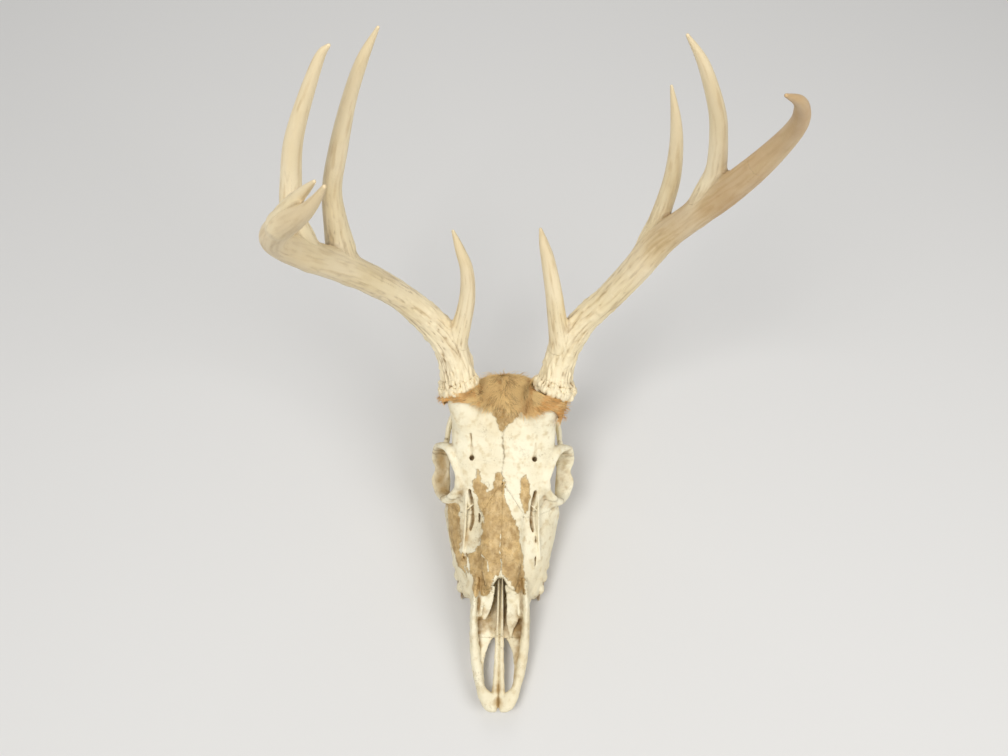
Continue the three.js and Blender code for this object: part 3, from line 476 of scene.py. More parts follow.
def wrapped(clay, d=None):
    """The surface where the distances are nought.

    Each grid cell that it passes through gets one point, at the mean of the places where it
    crosses the cell's edges, and each grid edge that it crosses gets one face, between the
    points of the four cells round that edge, turned so that it looks outwards.
    """
    d = clay.d if d is None else d
    n = np.array(d.shape)
    inside = d < 0
    count = np.zeros(n - 1, np.uint8)
    corners = list(product((0, 1), repeat=3))
    for c in corners:
        count += inside[tuple(slice(c[k], n[k] - 1 + c[k]) for k in range(3))]
    cells = np.nonzero((count > 0) & (count < 8))
    number = np.full(n - 1, -1, np.int32)
    number[cells] = np.arange(len(cells[0]), dtype=np.int32)
    cell = np.stack(cells, axis=1)
    value = {c: d[cells[0] + c[0], cells[1] + c[1], cells[2] + c[2]] for c in corners}
    total, crossings = np.zeros(cell.shape), np.zeros(len(cell))
    for a in corners:
        for k in range(3):
            if a[k]:
                continue
            b = tuple(v + (m == k) for m, v in enumerate(a))
            cross = (value[a] < 0) != (value[b] < 0)
            t = np.where(cross, value[a] / np.where(cross, value[a] - value[b], 1), 0)
            point = np.tile(np.array(a, float), (len(cell), 1))
            point[:, k] += t
            total += point * cross[:, None]
            crossings += cross
    vertices = clay.low + clay.step * (cell + total / crossings[:, None])
    faces = []
    for k in range(3):
        u, v = (k + 1) % 3, (k + 2) % 3
        first = [slice(1, m - 1) for m in n]
        first[k] = slice(0, n[k] - 1)
        ahead = list(first)
        ahead[k] = slice(1, n[k])
        here, there = inside[tuple(first)], inside[tuple(ahead)]
        for flag, order in ((here & ~there, 1), (there & ~here, -1)):
            place = np.stack(np.nonzero(flag), axis=1) + [0 if m == k else 1 for m in range(3)]
            ring = []
            for du, dv in ((-1, -1), (0, -1), (0, 0), (-1, 0))[::order]:
                at = place.copy()
                at[:, u] += du
                at[:, v] += dv
                ring.append(number[at[:, 0], at[:, 1], at[:, 2]])
            faces.append(np.stack(ring, axis=1))
    return vertices, np.concatenate(faces)


def closed_off(d):
    """The same distances with the grid's outermost layer outside the material."""
    d[[0, -1]] = d[:, [0, -1]] = d[:, :, [0, -1]] = 5
    return d


def sampled(clay, d, points):
    """The grid's numbers read at points between its corners, as straight lines between them."""
    place = np.clip((points - clay.low) / clay.step, 0, np.array(d.shape) - 1.001)
    cell = place.astype(int)
    t = place - cell
    total = 0
    for c in product((0, 1), repeat=3):
        weight = np.prod(np.where(c, t, 1 - t), axis=1)
        total = total + weight * d[cell[:, 0] + c[0], cell[:, 1] + c[1], cell[:, 2] + c[2]]
    return total


def outward(clay, d, points):
    """The unit direction in which the distances grow, at each point."""
    steps = np.eye(3) * clay.step * 0.8
    rise = [sampled(clay, d, points + s) - sampled(clay, d, points - s) for s in steps]
    return unit(np.stack(rise, axis=1))


def softened(numbers, reach):
    """Running means over this many grid steps along each axis, taken twice."""
    out = numbers.astype(np.float32)
    for axis in (0, 1, 2, 0, 1, 2):
        pad = [(reach + 1, reach) if k == axis else (0, 0) for k in range(3)]
        run = np.cumsum(np.pad(out, pad, mode="edge"), axis=axis, dtype=np.float32)
        size = out.shape[axis]
        high = np.take(run, range(2 * reach + 1, 2 * reach + 1 + size), axis=axis)
        out = (high - np.take(run, range(size), axis=axis)) / (2 * reach + 1)
    return out


def cast(name, vertices, faces, material, values=None, extra=None):
    """A mesh object from points in millimetres, with each named number kept at its points."""
    mesh = bpy.data.meshes.new(name)
    points = (np.asarray(vertices, float) - FOOTPRINT) / 1000
    mesh.vertices.add(len(points))
    mesh.vertices.foreach_set("co", points.astype(np.float32).ravel())
    groups = [faces] if extra is None else [faces, extra]
    loops = np.concatenate([g.ravel() for g in groups])
    sizes = np.concatenate([np.full(len(g), g.shape[1]) for g in groups])
    mesh.loops.add(len(loops))
    mesh.loops.foreach_set("vertex_index", loops.astype(np.int32))
    mesh.polygons.add(len(sizes))
    mesh.polygons.foreach_set("loop_start", np.concatenate([[0], np.cumsum(sizes)[:-1]]).astype(np.int32))
    mesh.update(calc_edges=True)
    mesh.polygons.foreach_set("use_smooth", np.ones(len(sizes), bool))
    for label, numbers in (values or {}).items():
        kept = mesh.attributes.new(label, "FLOAT", "POINT")
        kept.data.foreach_set("value", np.asarray(numbers, np.float32))
    mesh.validate()
    mesh.materials.append(material)
    made = bpy.data.objects.new(name, mesh)
    bpy.context.scene.collection.objects.link(made)
    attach(made, "root")
    return made


# ------------------------------------------------------------------ the skull


def root_of(beam):
    """Where an antler's beam starts, and the unit direction in which its burr faces, which leans
    a little further out than the beam."""
    root = np.array(beam[0][:3])
    ahead = unit(np.array(beam[1][:3]) - root) + [0.26 * np.sign(root[0]), 0, 0]
    return root, unit(ahead)


def beside_root(beam, x, y, z):
    """How far points lie up along an antler's foot from its root, and how far out from its axis."""
    root, ahead = root_of(beam)
    px, py, pz = x - root[0], y - root[1], z - root[2]
    up = px * ahead[0] + py * ahead[1] + pz * ahead[2]
    return up, np.sqrt(np.maximum(px * px + py * py + pz * pz - up * up, 0))


def burr_room(beam, x, y, z):
    """The room that an antler's foot needs: below nought is above its pedicle's end plane."""
    up, out = beside_root(beam, x, y, z)
    return np.maximum(-(up + PEDICLE_END), out - BURR_REACH)


def nose_notch():
    """The ragged notch in the front of the nose bones, whose tips stand furthest back in the middle."""

    def distance(x, y, z):
        place = np.stack(np.broadcast_arrays(x, y, 0), axis=-1)
        torn = 1.5 * grain(place, 3.2, 51) + 0.8 * grain(place, 1.6, 52)
        return highest(0.65 * (y - 101.5 + 1.2 * np.abs(x) + torn), np.abs(x) - 15, 44 - z)

    return (-16, 70, 42), (16, 104, 66), distance


def tooth_places():
    """The middle of each left cheek tooth in x and y, and its length and half width."""
    places, start = [], TOOTH_ROW_START
    for length, across in TEETH:
        middle_y = start + length / 2
        places.append((np.interp(middle_y, *np.array(ARCADE).T[::-1]), middle_y, length, across))
        start += length
    return places


def skull_clay(step):
    """The whole skull without its teeth, as lofts, hollows, rails, bars and eggs."""
    clay = Clay(*SKULL_BOX, step)
    for rows in (BRAINCASE, FOREHEAD, NASAL_ROOF, FACE, INTERORBITAL):
        clay.add(body(rows), 3)
    for rows in (NOSE_PASSAGE, PALATE_VAULT):
        clay.cut(body(rows), 2)
    clay.cut(egg(*THROAT), 3)
    for sign in (1, -1):
        clay.cut(rail(NASAL_VALLEY, sign), 5)
        clay.cut(egg(*EYE_SOCKET, sign), 2)
        clay.cut(egg(*TEMPLE, sign), 3)
    for sign in (1, -1):
        clay.add(bar(ORBIT_RIM, sign, guide=(1, 0, 0.1), closed=True, pieces=48), 4)
        clay.add(bar(CHEEK_ARCH, sign), 2.5)
        clay.add(egg(*SOCKET_CORNER, sign), 4)
        clay.cut(egg(*SOCKET_PLATE, sign), 1.5)
        clay.add(bar(PEDICLE, sign, guide=(1, 0, 0), pieces=14), 3)
        clay.add(bar(JUGULAR_PROCESS, sign, guide=(0, 1, 0), pieces=20), 3)
        clay.add(bar(NAPE_CREST, sign), 2.5)
        clay.add(rail(CHEEK_RIDGE, sign), 5)
        clay.add(rail(PTERYGOID, sign), 2)
        clay.add(rail(SOCKET_RIDGE, sign), 3)
        for middle_x, middle_y, length, _ in tooth_places():
            swelling = [middle_x + 5.2, middle_y, TOOTH_TOP], [3.6, 0.44 * length, 7], (0, 0, 0)
            clay.add(egg(*swelling, sign), 1.2)
        clay.add(egg(*NECK_JOINT, sign), 1.5)
        clay.add(egg(*EAR_BULB, sign), 1.5)
    clay.add(rail(SKULL_BASE), 3)
    clay.cut(egg(*SPINE_HOLE), 2)
    for sign in (1, -1):
        clay.cut(bar(BROW_HOLE, sign, pieces=2), 1)
        clay.cut(bar(BROW_GROOVE, sign), 1)
        clay.add(bar(FACE_RIDGE, sign), 2.2)
        clay.cut(bar(FACE_WINDOW, sign, guide=(0.45, 0, 0.9), pieces=20), 0.8)
        clay.add(bar(FACE_WINDOW_STRUT, sign), 0.8)
        for rows in SMALL_WINDOWS[sign]:
            clay.cut(bar(rows, sign, guide=(0.45, 0, 0.9), pieces=2), 0.6)
    clay.cut(nose_notch(), 1)
    for sign, rows in product((1, -1), (PREMAXILLA, PREMAXILLA_SHELF, PALATINE_PROCESS)):
        clay.add(rail(rows, sign), 1 if rows is PALATINE_PROCESS else 1.5)
    for rows in (TURBINATE_LEFT, TURBINATE_RIGHT):
        clay.add(rail(rows), 1)
    x, y, z = clay.whole()
    clay.d = np.maximum(clay.d, -z)
    for beam in (RIGHT_ANTLER["beam"], LEFT_ANTLER["beam"]):
        clay.d = np.maximum(clay.d, -burr_room(beam, x, y, z).astype(np.float32))
    return clay


def vomer_clay(skull):
    """The vomer: a thin plate on a foot, kept clear of the skull and of the premaxillae's shelves."""
    vomer, shelf = (Clay(*VOMER_BOX, FINE_STEP) for _ in range(2))
    for sign in (1, -1):
        vomer.add(rail(VOMER, sign), 0.4)
        shelf.add(rail(PREMAXILLA_SHELF, sign, grow=0.3), 0.4)
    vomer.add(rail(VOMER_FOOT), 0.8)
    places = np.stack(np.broadcast_arrays(*vomer.whole()), axis=-1).reshape(-1, 3)
    inside = sampled(skull, skull.d, places).reshape(vomer.count).astype(np.float32)
    vomer.d = closed_off(np.maximum(vomer.d, 0.2 - np.minimum(inside, shelf.d)))
    return vomer


def wavy(u, v, seed):
    """Plane coordinates shifted a little to and fro, so that a seam drawn in them zigzags."""
    u, v = np.broadcast_arrays(u, v)
    place = np.stack([u, v, np.zeros_like(u)], axis=-1)
    shift = [grain(place, 6, seed + k) + 0.5 * grain(place, 2.4, seed + k + 1) for k in (0, 2)]
    return u + shift[0], v + shift[1]


def bone_regions(clay):
    """For each bone, a distance that is below nought in its part of the skull."""
    x, y, z = clay.whole()
    side_y, side_z = wavy(y[0], z[0], 3)
    seams = (SNOUT_SEAM, FACE_SEAM, CHEEK_SEAM, FRONTAL_SEAM)
    snout, face, cheek, frontal = (
        outline_distance(seam, side_y, side_z)[None].astype(np.float32) for seam in seams
    )
    snout = np.where(np.abs(x) < 16.5, y - 60, snout)
    top_x, top_y = wavy(x[:, :, 0], y[:, :, 0], 11)
    nose = outline_distance(NOSE_SEAM, top_x, top_y)[:, :, None].astype(np.float32)
    under = z - 44
    for rows in (NASAL_ROOF, FOREHEAD):
        lowered = [[*row[:2], row[2] - NASAL_PLATE, *row[3:]] for row in rows]
        under = np.minimum(under, body(lowered)[2](x, y, z))
    nose = np.maximum(nose, -under)
    place = np.stack(np.broadcast_arrays(y[0], z[0], 0), axis=-1)
    zigzag = (0.9 * grain(place, 2.2, 7) + 1.3 * grain(place, 9, 8))[None]
    middle = (x - zigzag * np.clip((y - 160) / 20, 0, 1)).astype(np.float32)
    regions = {}
    rear = highest(-face, -snout, -nose)
    cranium = rear
    for name, sign in (("left", 1), ("right", -1)):
        half = -sign * middle + SEAM_GAP
        outer = np.maximum(cheek, 43 - sign * x)
        inner = np.maximum(rear, -outer)
        cranium = np.maximum(cranium, -outer)
        regions[f"{name}_premaxilla"] = highest(highest(snout, -nose) + SEAM_GAP, half)
        regions[f"{name}_nasal_bone"] = highest(nose + SEAM_GAP, half)
        regions[f"{name}_maxilla"] = highest(highest(face, -snout, -nose) + SEAM_GAP, half)
        regions[f"{name}_cheek_bone"] = highest(outer, -face, -snout) + SEAM_GAP
        regions[f"{name}_frontal_bone"] = highest(highest(inner, frontal) + SEAM_GAP, half)
    regions["cranium"] = highest(cranium, -frontal) + SEAM_GAP
    return regions


def crisp(clay, seam, vertices):
    """Moves the points beside a seam onto both the skull and the seam, so that the seam's edge is
    sharp. Returns the points and how far each was from the seam and from the skull's surface."""
    for _ in range(4):
        to_skull, to_seam = sampled(clay, clay.d, vertices), sampled(clay, seam, vertices)
        beside = (np.abs(to_skull) < 0.8 * clay.step) & (np.abs(to_seam) < 0.8 * clay.step)
        near = vertices[beside]
        near = near - outward(clay, seam, near) * to_seam[beside, None]
        near = near - outward(clay, clay.d, near) * sampled(clay, clay.d, near)[:, None]
        vertices = vertices.copy()
        vertices[beside] = near
    return vertices, np.abs(to_seam), np.abs(to_skull)


def node_of(bone):
    """The solid whose place a bone takes."""
    side, _, kind = bone.partition("_")
    if kind in ("", "frontal_bone"):
        return "braincase"
    return f"maxilla_and_teeth_{side}" if kind == "maxilla" else f"{kind}_{side}"


# Where dried tissue still covers the bone, as outlines from above in x and y.
NOSE_TISSUE = [
    [-22, 84], [-29, 96], [-31, 108], [-27, 122], [-18.5, 127], [-16, 137], [-16, 149], [-21, 158],
    [-25, 170], [-23.5, 186], [-18, 177], [-12, 166], [-9, 165], [-6, 178], [-1, 179], [2, 172],
    [3, 160], [8.4, 148], [13.6, 137], [18, 122], [20.4, 105], [21, 86], [17, 82], [12, 91], [7, 96],
    [2, 100], [-4, 100.5], [-8, 91], [-11, 85], [-16, 77],
]
BROW_TISSUE = [[15, 176], [20, 179], [23.5, 172], [23, 160], [19.5, 150], [15.5, 157], [14, 168]]
HIDE_CRUMBS = [[-20, 236], [-12, 224], [-6, 216], [-1.4, 206], [3, 212], [9, 217], [13, 224], [14, 236]]
CHEEK_TISSUE = [
    [163, 44], [166, 58], [152, 64], [140, 60], [128, 52], [112, 46], [106, 36], [116, 30],
    [136, 30], [152, 34],
]
# Pale ridges where the tissue has worn off the edges of the nose bones.
BARE_RIDGES = [
    [[-0.6, 133], [-1.4, 120], [0.6, 110], [-0.4, 99]],
    [[-16, 118], [-11, 112], [-10, 104]],
]
# Old stain on bare bone: the middle of each soft patch, how far it reaches, and how strong it is.
STAINS = [
    [-54, 191, 53, 17, 1.9], [-50, 207, 70, 14, 1.7], [-52, 172, 50, 12, 1.0], [-45, 160, 44, 16, 0.6],
    [54, 191, 53, 14, 0.4], [51, 207, 72, 13, 0.5], [-40, 172, 76, 10, 0.45], [-36, 140, 42, 16, 0.6],
    [12, 74, 20, 16, 0.9], [-10, 76, 22, 14, 0.8], [13, 46, 13, 9, 0.9], [13, 30, 13, 7, 0.8],
    [0, 20, 15, 5, 0.8], [0, 8, 14, 5, 0.9], [0, 34, 15, 5, 0.5], [-13, 160, 74, 8, 0.4],
]


def bare_ridge(x, y):
    """How far each point lies, seen from above, from the nearest of the pale ridges."""
    return reduce(np.minimum, [beside_line(ridge, x, y) for ridge in BARE_RIDGES])


def tissue_cover(p):
    """How far, in millimetres, a point lies inside the patches of dried tissue."""
    x, y, z = p.T
    above = np.clip(46 - z, 0, 12)
    worn = 5 * np.clip(1 - bare_ridge(x, y) / 1.6, 0, 1)
    cover = np.minimum(-outline_distance(NOSE_TISSUE, x, y), 4.5) - above - worn
    cover = np.maximum(cover, -outline_distance(BROW_TISSUE, x, y) - above)
    cover = np.maximum(cover, -outline_distance(HIDE_CRUMBS, x, y) - np.clip(100 - z, 0, 9))
    inner = np.interp(y, [100, 119, 130, 180], [24, 28, 33, 35])
    cheek = np.minimum(-outline_distance(CHEEK_TISSUE, y, z), -x - inner) + 2.6 * grain(p, 9, 21) - 1
    return np.clip(np.maximum(cover, cheek), -9, 9)


def stained(p):
    """How strongly old stain colours the bone at each point, from 0 to about 2."""
    total = np.zeros(len(p))
    for *middle, reach, strength in STAINS:
        total = np.maximum(total, strength * np.exp(-((np.linalg.norm(p - middle, axis=1) / reach) ** 4)))
    return total


def bone_relief(p, cover):
    """How far the bone's surface, with its tissue and crumbs, stands out in millimetres."""
    x, y, z = p.T
    smooth = 0.18 * grain(p, 7, 1) + 0.17 * grain(p, 2.4, 2)
    edge = np.clip(cover + 3 * grain(p, 5, 14), 0, 1)
    wrinkled = edge * (0.35 + 0.22 * grain(p * [1, 0.45, 1], 3, 15))
    crumbs = np.clip(-outline_distance(HIDE_CRUMBS, x, y) / 2, 0, 1) * (z > 95)
    crumbs = crumbs * (0.6 + 2.0 * np.maximum(grain(p, 2.8, 16), -0.2) + 0.8 * grain(p, 1.8, 17))
    ridge = 0.9 * np.exp(-((bare_ridge(x, y) / 1.1) ** 2)) * (z > 50)
    worn = 0.45 * np.exp(-((np.linalg.norm(p - [0, 60, 25], axis=1) / 40) ** 4)) * grain(p, 3.4, 18)
    return smooth + wrinkled + crumbs + ridge + worn


def tooth_clay(sign, step):
    """One row of cheek teeth: lobed outlines carried up, with crescent ridges on the biting side."""
    low = (18, 94, -1) if sign > 0 else (-45, 94, -1)
    clay = Clay(low, np.array(low) + [27, 84, 21], step)
    x, y, z = clay.whole()
    for number, (middle_x, middle_y, length, across) in enumerate(tooth_places()):
        u, v = sign * x - middle_x, y - middle_y
        lobes = (0,) if number < 3 else (-length / 4, length / 4)
        long = length / 2 if number < 3 else length / 4
        outline = None
        for lobe in lobes:
            out = (np.abs(u / across) ** 2.3 + np.abs((v - lobe) / (long - 0.15)) ** 2.6) ** (1 / 2.4)
            here = (out - 1) * min(across, long)
            outline = here if outline is None else merge(outline, here, 1.2)
        for post in [lobe + long * k for lobe in lobes for k in (-0.95, 0, 0.9)]:
            rib = np.sqrt((u - across * 0.86) ** 2 + (v - post) ** 2) - 1.15
            outline = merge(outline, rib, 0.8)
        bite = np.zeros_like(outline)
        for lobe in lobes:
            w = (v - lobe) / long
            outer = np.abs(u / across - (0.62 - 0.22 * np.cos(math.pi * w)))
            inner = np.abs(u / across + 0.72 - 0.5 * w * w)
            crest = np.maximum(np.exp(-((outer / 0.16) ** 2)), 0.8 * np.exp(-((inner / 0.18) ** 2)))
            bite = np.maximum(bite, np.where(np.abs(w) < 1.1, crest, 0))
        floor = 2.6 * (1 - bite) + 0.6 * (1 - u / across) / 2
        waist = 0.05 * (z - 6) * (z > 6)
        clay.d = merge(clay.d, np.maximum(outline + waist, floor - z).astype(np.float32), 0.01)
    clay.d = closed_off(np.maximum(clay.d, z - TOOTH_TOP).astype(np.float32))
    return clay


# ------------------------------------------------------------------ the antlers


def run_along(rows):
    """Many places on a horn's curve, evenly counted, and how far each is from its root along it."""
    fine = through(rows, np.linspace(0, 1, 900))
    return fine, np.concatenate([[0], np.cumsum(np.linalg.norm(np.diff(fine[:, :3], axis=0), axis=1))])


def evenly(rows, step):
    """Places along a horn's curve about this far apart: x, y, z, radius and distance from the root."""
    fine, run = run_along(rows)
    at = np.linspace(0, run[-1], int(run[-1] / step) + 2)
    return np.stack([np.interp(at, run, fine[:, k]) for k in range(4)] + [at], axis=1)


def stroke(clay, rows):
    """Distances to a round tapering horn, filled in round one short cone of it after another."""
    d = np.full(clay.count, AIR, np.float32)
    line = evenly(rows, 3).astype(np.float32)
    for a, b in zip(line, line[1:]):
        reach = max(a[3], b[3]) + 6
        place, x, y, z = clay.window(np.minimum(a, b)[:3] - reach, np.maximum(a, b)[:3] + reach)
        s = b[:3] - a[:3]
        px, py, pz = x - a[0], y - a[1], z - a[2]
        t = np.clip((px * s[0] + py * s[1] + pz * s[2]) / (s @ s), 0, 1)
        far = (px - t * s[0]) ** 2 + (py - t * s[1]) ** 2 + (pz - t * s[2]) ** 2
        d[place] = np.minimum(d[place], np.sqrt(far) - a[3] - t * (b[3] - a[3]))
    return d


def beside_horn(points, rows):
    """Each point's place on a horn: out along its two cross directions on the horn's own radius,
    then its distance along it from the root and that radius."""
    line = evenly(rows, HORN_STEP)
    centre = line[:, :3]
    ahead, side, rise = cross_directions(centre, HORN_GUIDE)
    square, across = (centre**2).sum(axis=1), centre.T.astype(np.float32)
    nearest = np.concatenate([
        np.argmin(square - 2 * part.astype(np.float32) @ across, axis=1)
        for part in np.array_split(points, max(1, len(points) // 4000))
    ])
    q = points - centre[nearest]
    a = (q * side[nearest]).sum(axis=1)
    b = (q * rise[nearest]).sum(axis=1)
    wide = line[nearest, 3] / np.maximum(np.hypot(a, b), 0.3)
    run = line[nearest, 4] + (q * ahead[nearest]).sum(axis=1)
    return np.stack([a * wide, b * wide, run, line[nearest, 3]], axis=1)


# The rings of pearls round an antler's root: how many, how far out, how far up and how large.
BURR_RINGS = (
    (46, 15.5, -1.8, 1.2), (50, 16.1, -0.2, 1.25), (50, 16.0, 1.4, 1.2), (44, 15.2, 3.2, 1.1),
    (40, 14.2, 5.2, 1.0), (30, 13.6, 8, 0.9),
)


def burr_knobs(beam, seed):
    """The pearls of bone round an antler's root, as eggs drawn out along it."""
    dice = np.random.default_rng(seed)
    root, ahead = root_of(beam)
    side = unit(np.cross(ahead, HORN_GUIDE))
    rise = np.cross(side, ahead)
    knobs = []
    for count, out, up, size in BURR_RINGS:
        for k in range(count):
            angle = 2 * math.pi * (k + dice.uniform(-0.3, 0.3)) / count
            radius = size * dice.uniform(0.65, 1.3)
            middle = root + ahead * (up + dice.uniform(-1, 1) * 0.6 * size)
            round_root = side * math.cos(angle) + rise * math.sin(angle)
            middle = middle + round_root * (out + dice.uniform(-0.6, 0.7))
            knobs.append((middle, (radius, radius * dice.uniform(0.9, 1.3), radius * dice.uniform(1, 1.6))))
    return knobs


def antler_clay(horns, step, seed):
    """An antler in one piece: its horns joined with filled forks, and the knobbly burr."""
    rows = np.concatenate([np.array(h, float) for h in horns.values()])
    reach = rows[:, 3].max() + 7
    high = rows[:, :3].max(axis=0) + reach * np.array([1, 1, 0.6])
    clay = Clay(rows[:, :3].min(axis=0) - reach, high, step)
    parts = {name: stroke(clay, rows) for name, rows in horns.items()}
    clay.d = parts["beam"].copy()
    for name, d in parts.items():
        if name != "beam":
            clay.d = merge(clay.d, d, 5.0)
    for knob in burr_knobs(horns["beam"], seed):
        clay.add(egg(*knob), 0.7)
    root, _ = root_of(horns["beam"])
    place, x, y, z = clay.window(root - BURR_REACH, root + BURR_REACH)
    up, out = beside_root(horns["beam"], x, y, z)
    ring = np.maximum(out - 13.0 - 2.5 * np.exp(-(((up - 0.2) / 3.4) ** 2)), np.abs(up - 3) - 6.4)
    here = merge(clay.d[place], ring.astype(np.float32), 1.5)
    clay.d[place] = np.maximum(here, (-up - 3.3).astype(np.float32))
    return clay, parts


def antler_relief(where, seed, is_beam):
    """For places on a horn: how far grooves and pearls raise it, how deep in a groove each place
    is, a finer streak that runs along it, and how bold all this is there."""
    run, radius = where[:, 2], where[:, 3]

    def drawn(k, share, size):
        """Grain of this size whose run along the horn counts for only this share."""
        return grain(where[:, :3] * [1, 1, share], size, seed + k)

    channel = np.abs(drawn(0, 0.08, 2.3)) + 0.7 * np.abs(drawn(1, 0.14, 1.6))
    channel = np.clip(channel * 1.6, 0, 1) - 0.55
    streak = drawn(2, 0.06, 1.6) + 0.6 * drawn(3, 0.12, 1.1)
    knobby = np.maximum(drawn(4, 0.36, 1.9) + 0.4 * drawn(5, 0.5, 9), 0)
    low = np.exp(-((np.maximum(run, 0) / (105 if is_beam else 22)) ** 1.6)) * (1 if is_beam else 0.5)
    bold = 0.12 + 0.88 * np.exp(-((np.maximum(run, 0) / (95 if is_beam else 45)) ** 1.3))
    bold = np.clip((radius - 2.2) / 6, 0, 1) * bold * (1 if is_beam else 0.7)
    uneven = 0.15 * drawn(6, 0.5, 18) * np.clip(radius / 8, 0, 1)
    return 1.2 * bold * channel + 1.8 * low * knobby + uneven, channel + 0.6 * low * knobby, streak, bold


def parted(count, quads, label):
    """Cuts a closed surface into closed pieces by the label of each face.

    Where two labels meet, each side gets a fan of triangles to a point in the middle of the
    rim, so the rims match point for point. Returns, for each label, its faces and its fans.
    """
    edge = quads[:, [0, 1, 1, 2, 2, 3, 3, 0]].reshape(-1, 2)
    face = np.repeat(np.arange(len(quads)), 4)
    key = np.sort(edge, axis=1).astype(np.int64) @ np.array([count, 1])
    order = np.argsort(key, kind="stable")
    twin = np.nonzero(key[order][1:] == key[order][:-1])[0]
    a, b = order[twin], order[twin + 1]
    rim = label[face[a]] != label[face[b]]
    a, b = np.concatenate([a[rim], b[rim]]), np.concatenate([b[rim], a[rim]])
    pieces = {}
    for own in np.unique(label):
        fans = []
        mine = label[face[a]] == own
        for other in np.unique(label[face[b[mine]]]):
            fans.append(edge[a[mine & (label[face[b]] == other)]])
        pieces[own] = (quads[label == own], fans)
    return pieces


def cast_closed(name, vertices, quads, fans, material, values):
    """A piece whose open rims are closed with fans, kept flat so that they don't shade the rim."""
    used, place = np.unique(quads, return_inverse=True)
    place = place.reshape(quads.shape)
    extra = []
    numbers = {"points": vertices[used], **{label: v[used] for label, v in values.items()}}
    for rim in fans:
        loop = np.searchsorted(used, rim)
        middle = np.full((len(loop), 1), len(numbers["points"]))
        extra.append(np.concatenate([loop[:, ::-1], middle], axis=1))
        for label, v in numbers.items():
            numbers[label] = np.concatenate([v, v[loop[:, 0]].mean(axis=0, keepdims=True)])
    made = cast(name, numbers.pop("points"), place, material, numbers, np.concatenate(extra))
    flat = np.ones(len(made.data.polygons), bool)
    flat[len(place):] = False
    made.data.polygons.foreach_set("use_smooth", flat)
    return made


def antler_surface(horns, step, seed):
    """An antler's points, raised by its relief, its faces, the number of the piece that each face
    belongs to (three lengths of beam, then the tines) and the numbers that the finish reads."""
    clay, parts = antler_clay(horns, step, seed)
    vertices, quads = wrapped(clay)
    out = outward(clay, clay.d, vertices)
    away = np.stack([sampled(clay, d, vertices) for d in parts.values()], axis=1)
    weight = np.exp(-np.clip(away - away.min(axis=1, keepdims=True), 0, 9) / 1.5)
    weight /= weight.sum(axis=1, keepdims=True)
    # How closed in each point is, from the softened solid; the finish paints shade from it.
    dents = sampled(clay, softened(clay.d < 0, max(1, round(1.4 / step))), vertices)
    places = [beside_horn(vertices, rows) for rows in horns.values()]
    relief = 0
    for k, (where, rows) in enumerate(zip(places, horns.values())):
        far = where[:, 2] / run_along(rows)[1][-1]
        here = np.stack([*antler_relief(where, 10 * k + seed, k == 0), far], axis=1)
        relief = relief + weight[:, k:k + 1] * here
    vertices = vertices + out * relief[:, :1]
    _, run = run_along(horns["beam"])
    rows = np.linspace(0, len(horns["beam"]) - 1, len(run))
    on_beam = np.digitize(places[0][:, 2], np.interp(FORKS, rows, run))
    tine = away[:, 1:].argmin(axis=1) + len(FORKS) + 1
    label = np.where(away[:, 1:].min(axis=1) < away[:, 0], tine, on_beam)
    high = np.clip((vertices[:, 2] - 230) / 110, 0, 1)  # painted shade: the beams darken to tan from halfway up
    values = {
        "groove": relief[:, 1], "streak": relief[:, 2], "bold": np.clip(relief[:, 3] * 1.3, 0, 1),
        "tip": np.clip((relief[:, 4] - 0.45) * 1.6, 0, 1), "hollow": dents,
        "tan": high * weight[:, 0],
    }
    return vertices, quads, label[quads].max(axis=1), values


# ------------------------------------------------------------------ the scalp and its hair

# The scalp's torn lower edge from one side to the other: x, and how far up and back it lies,
# measured along a line that slopes up by 30 degrees.
SCALP_EDGE = [
    [-66, 261], [-50, 260.4], [-36, 260.6], [-26, 260.4], [-19, 258], [-12, 258.4], [-1, 258],
    [6, 255.4], [13, 253.4], [21, 252.2], [26, 254], [31, 257.2], [37, 256], [44, 250.4],
    [50, 246.6], [56, 244.2], [66, 244.2],
]
SCALP_LOW = {1: 90, -1: 101}  # how low the scalp hangs on the left and on the right
CROWN = ([1, 243, 106.5], [32, 17.5, 17.5], [8, 0, 0])  # the mound of matted hair between the antlers
WHORL = (3.0, 290.0)  # where the middle hair parts, from above
# The pieces that the hair is made in: where the roots of each lie in x, and its random seed.
HAIR_PARTS = {
    "right": (-FAR, -26, 3), "right_middle": (-30, -6, 4), "middle": (-9, 13, 5),
    "left_middle": (10, 32, 6), "left": (28, FAR, 7),
}


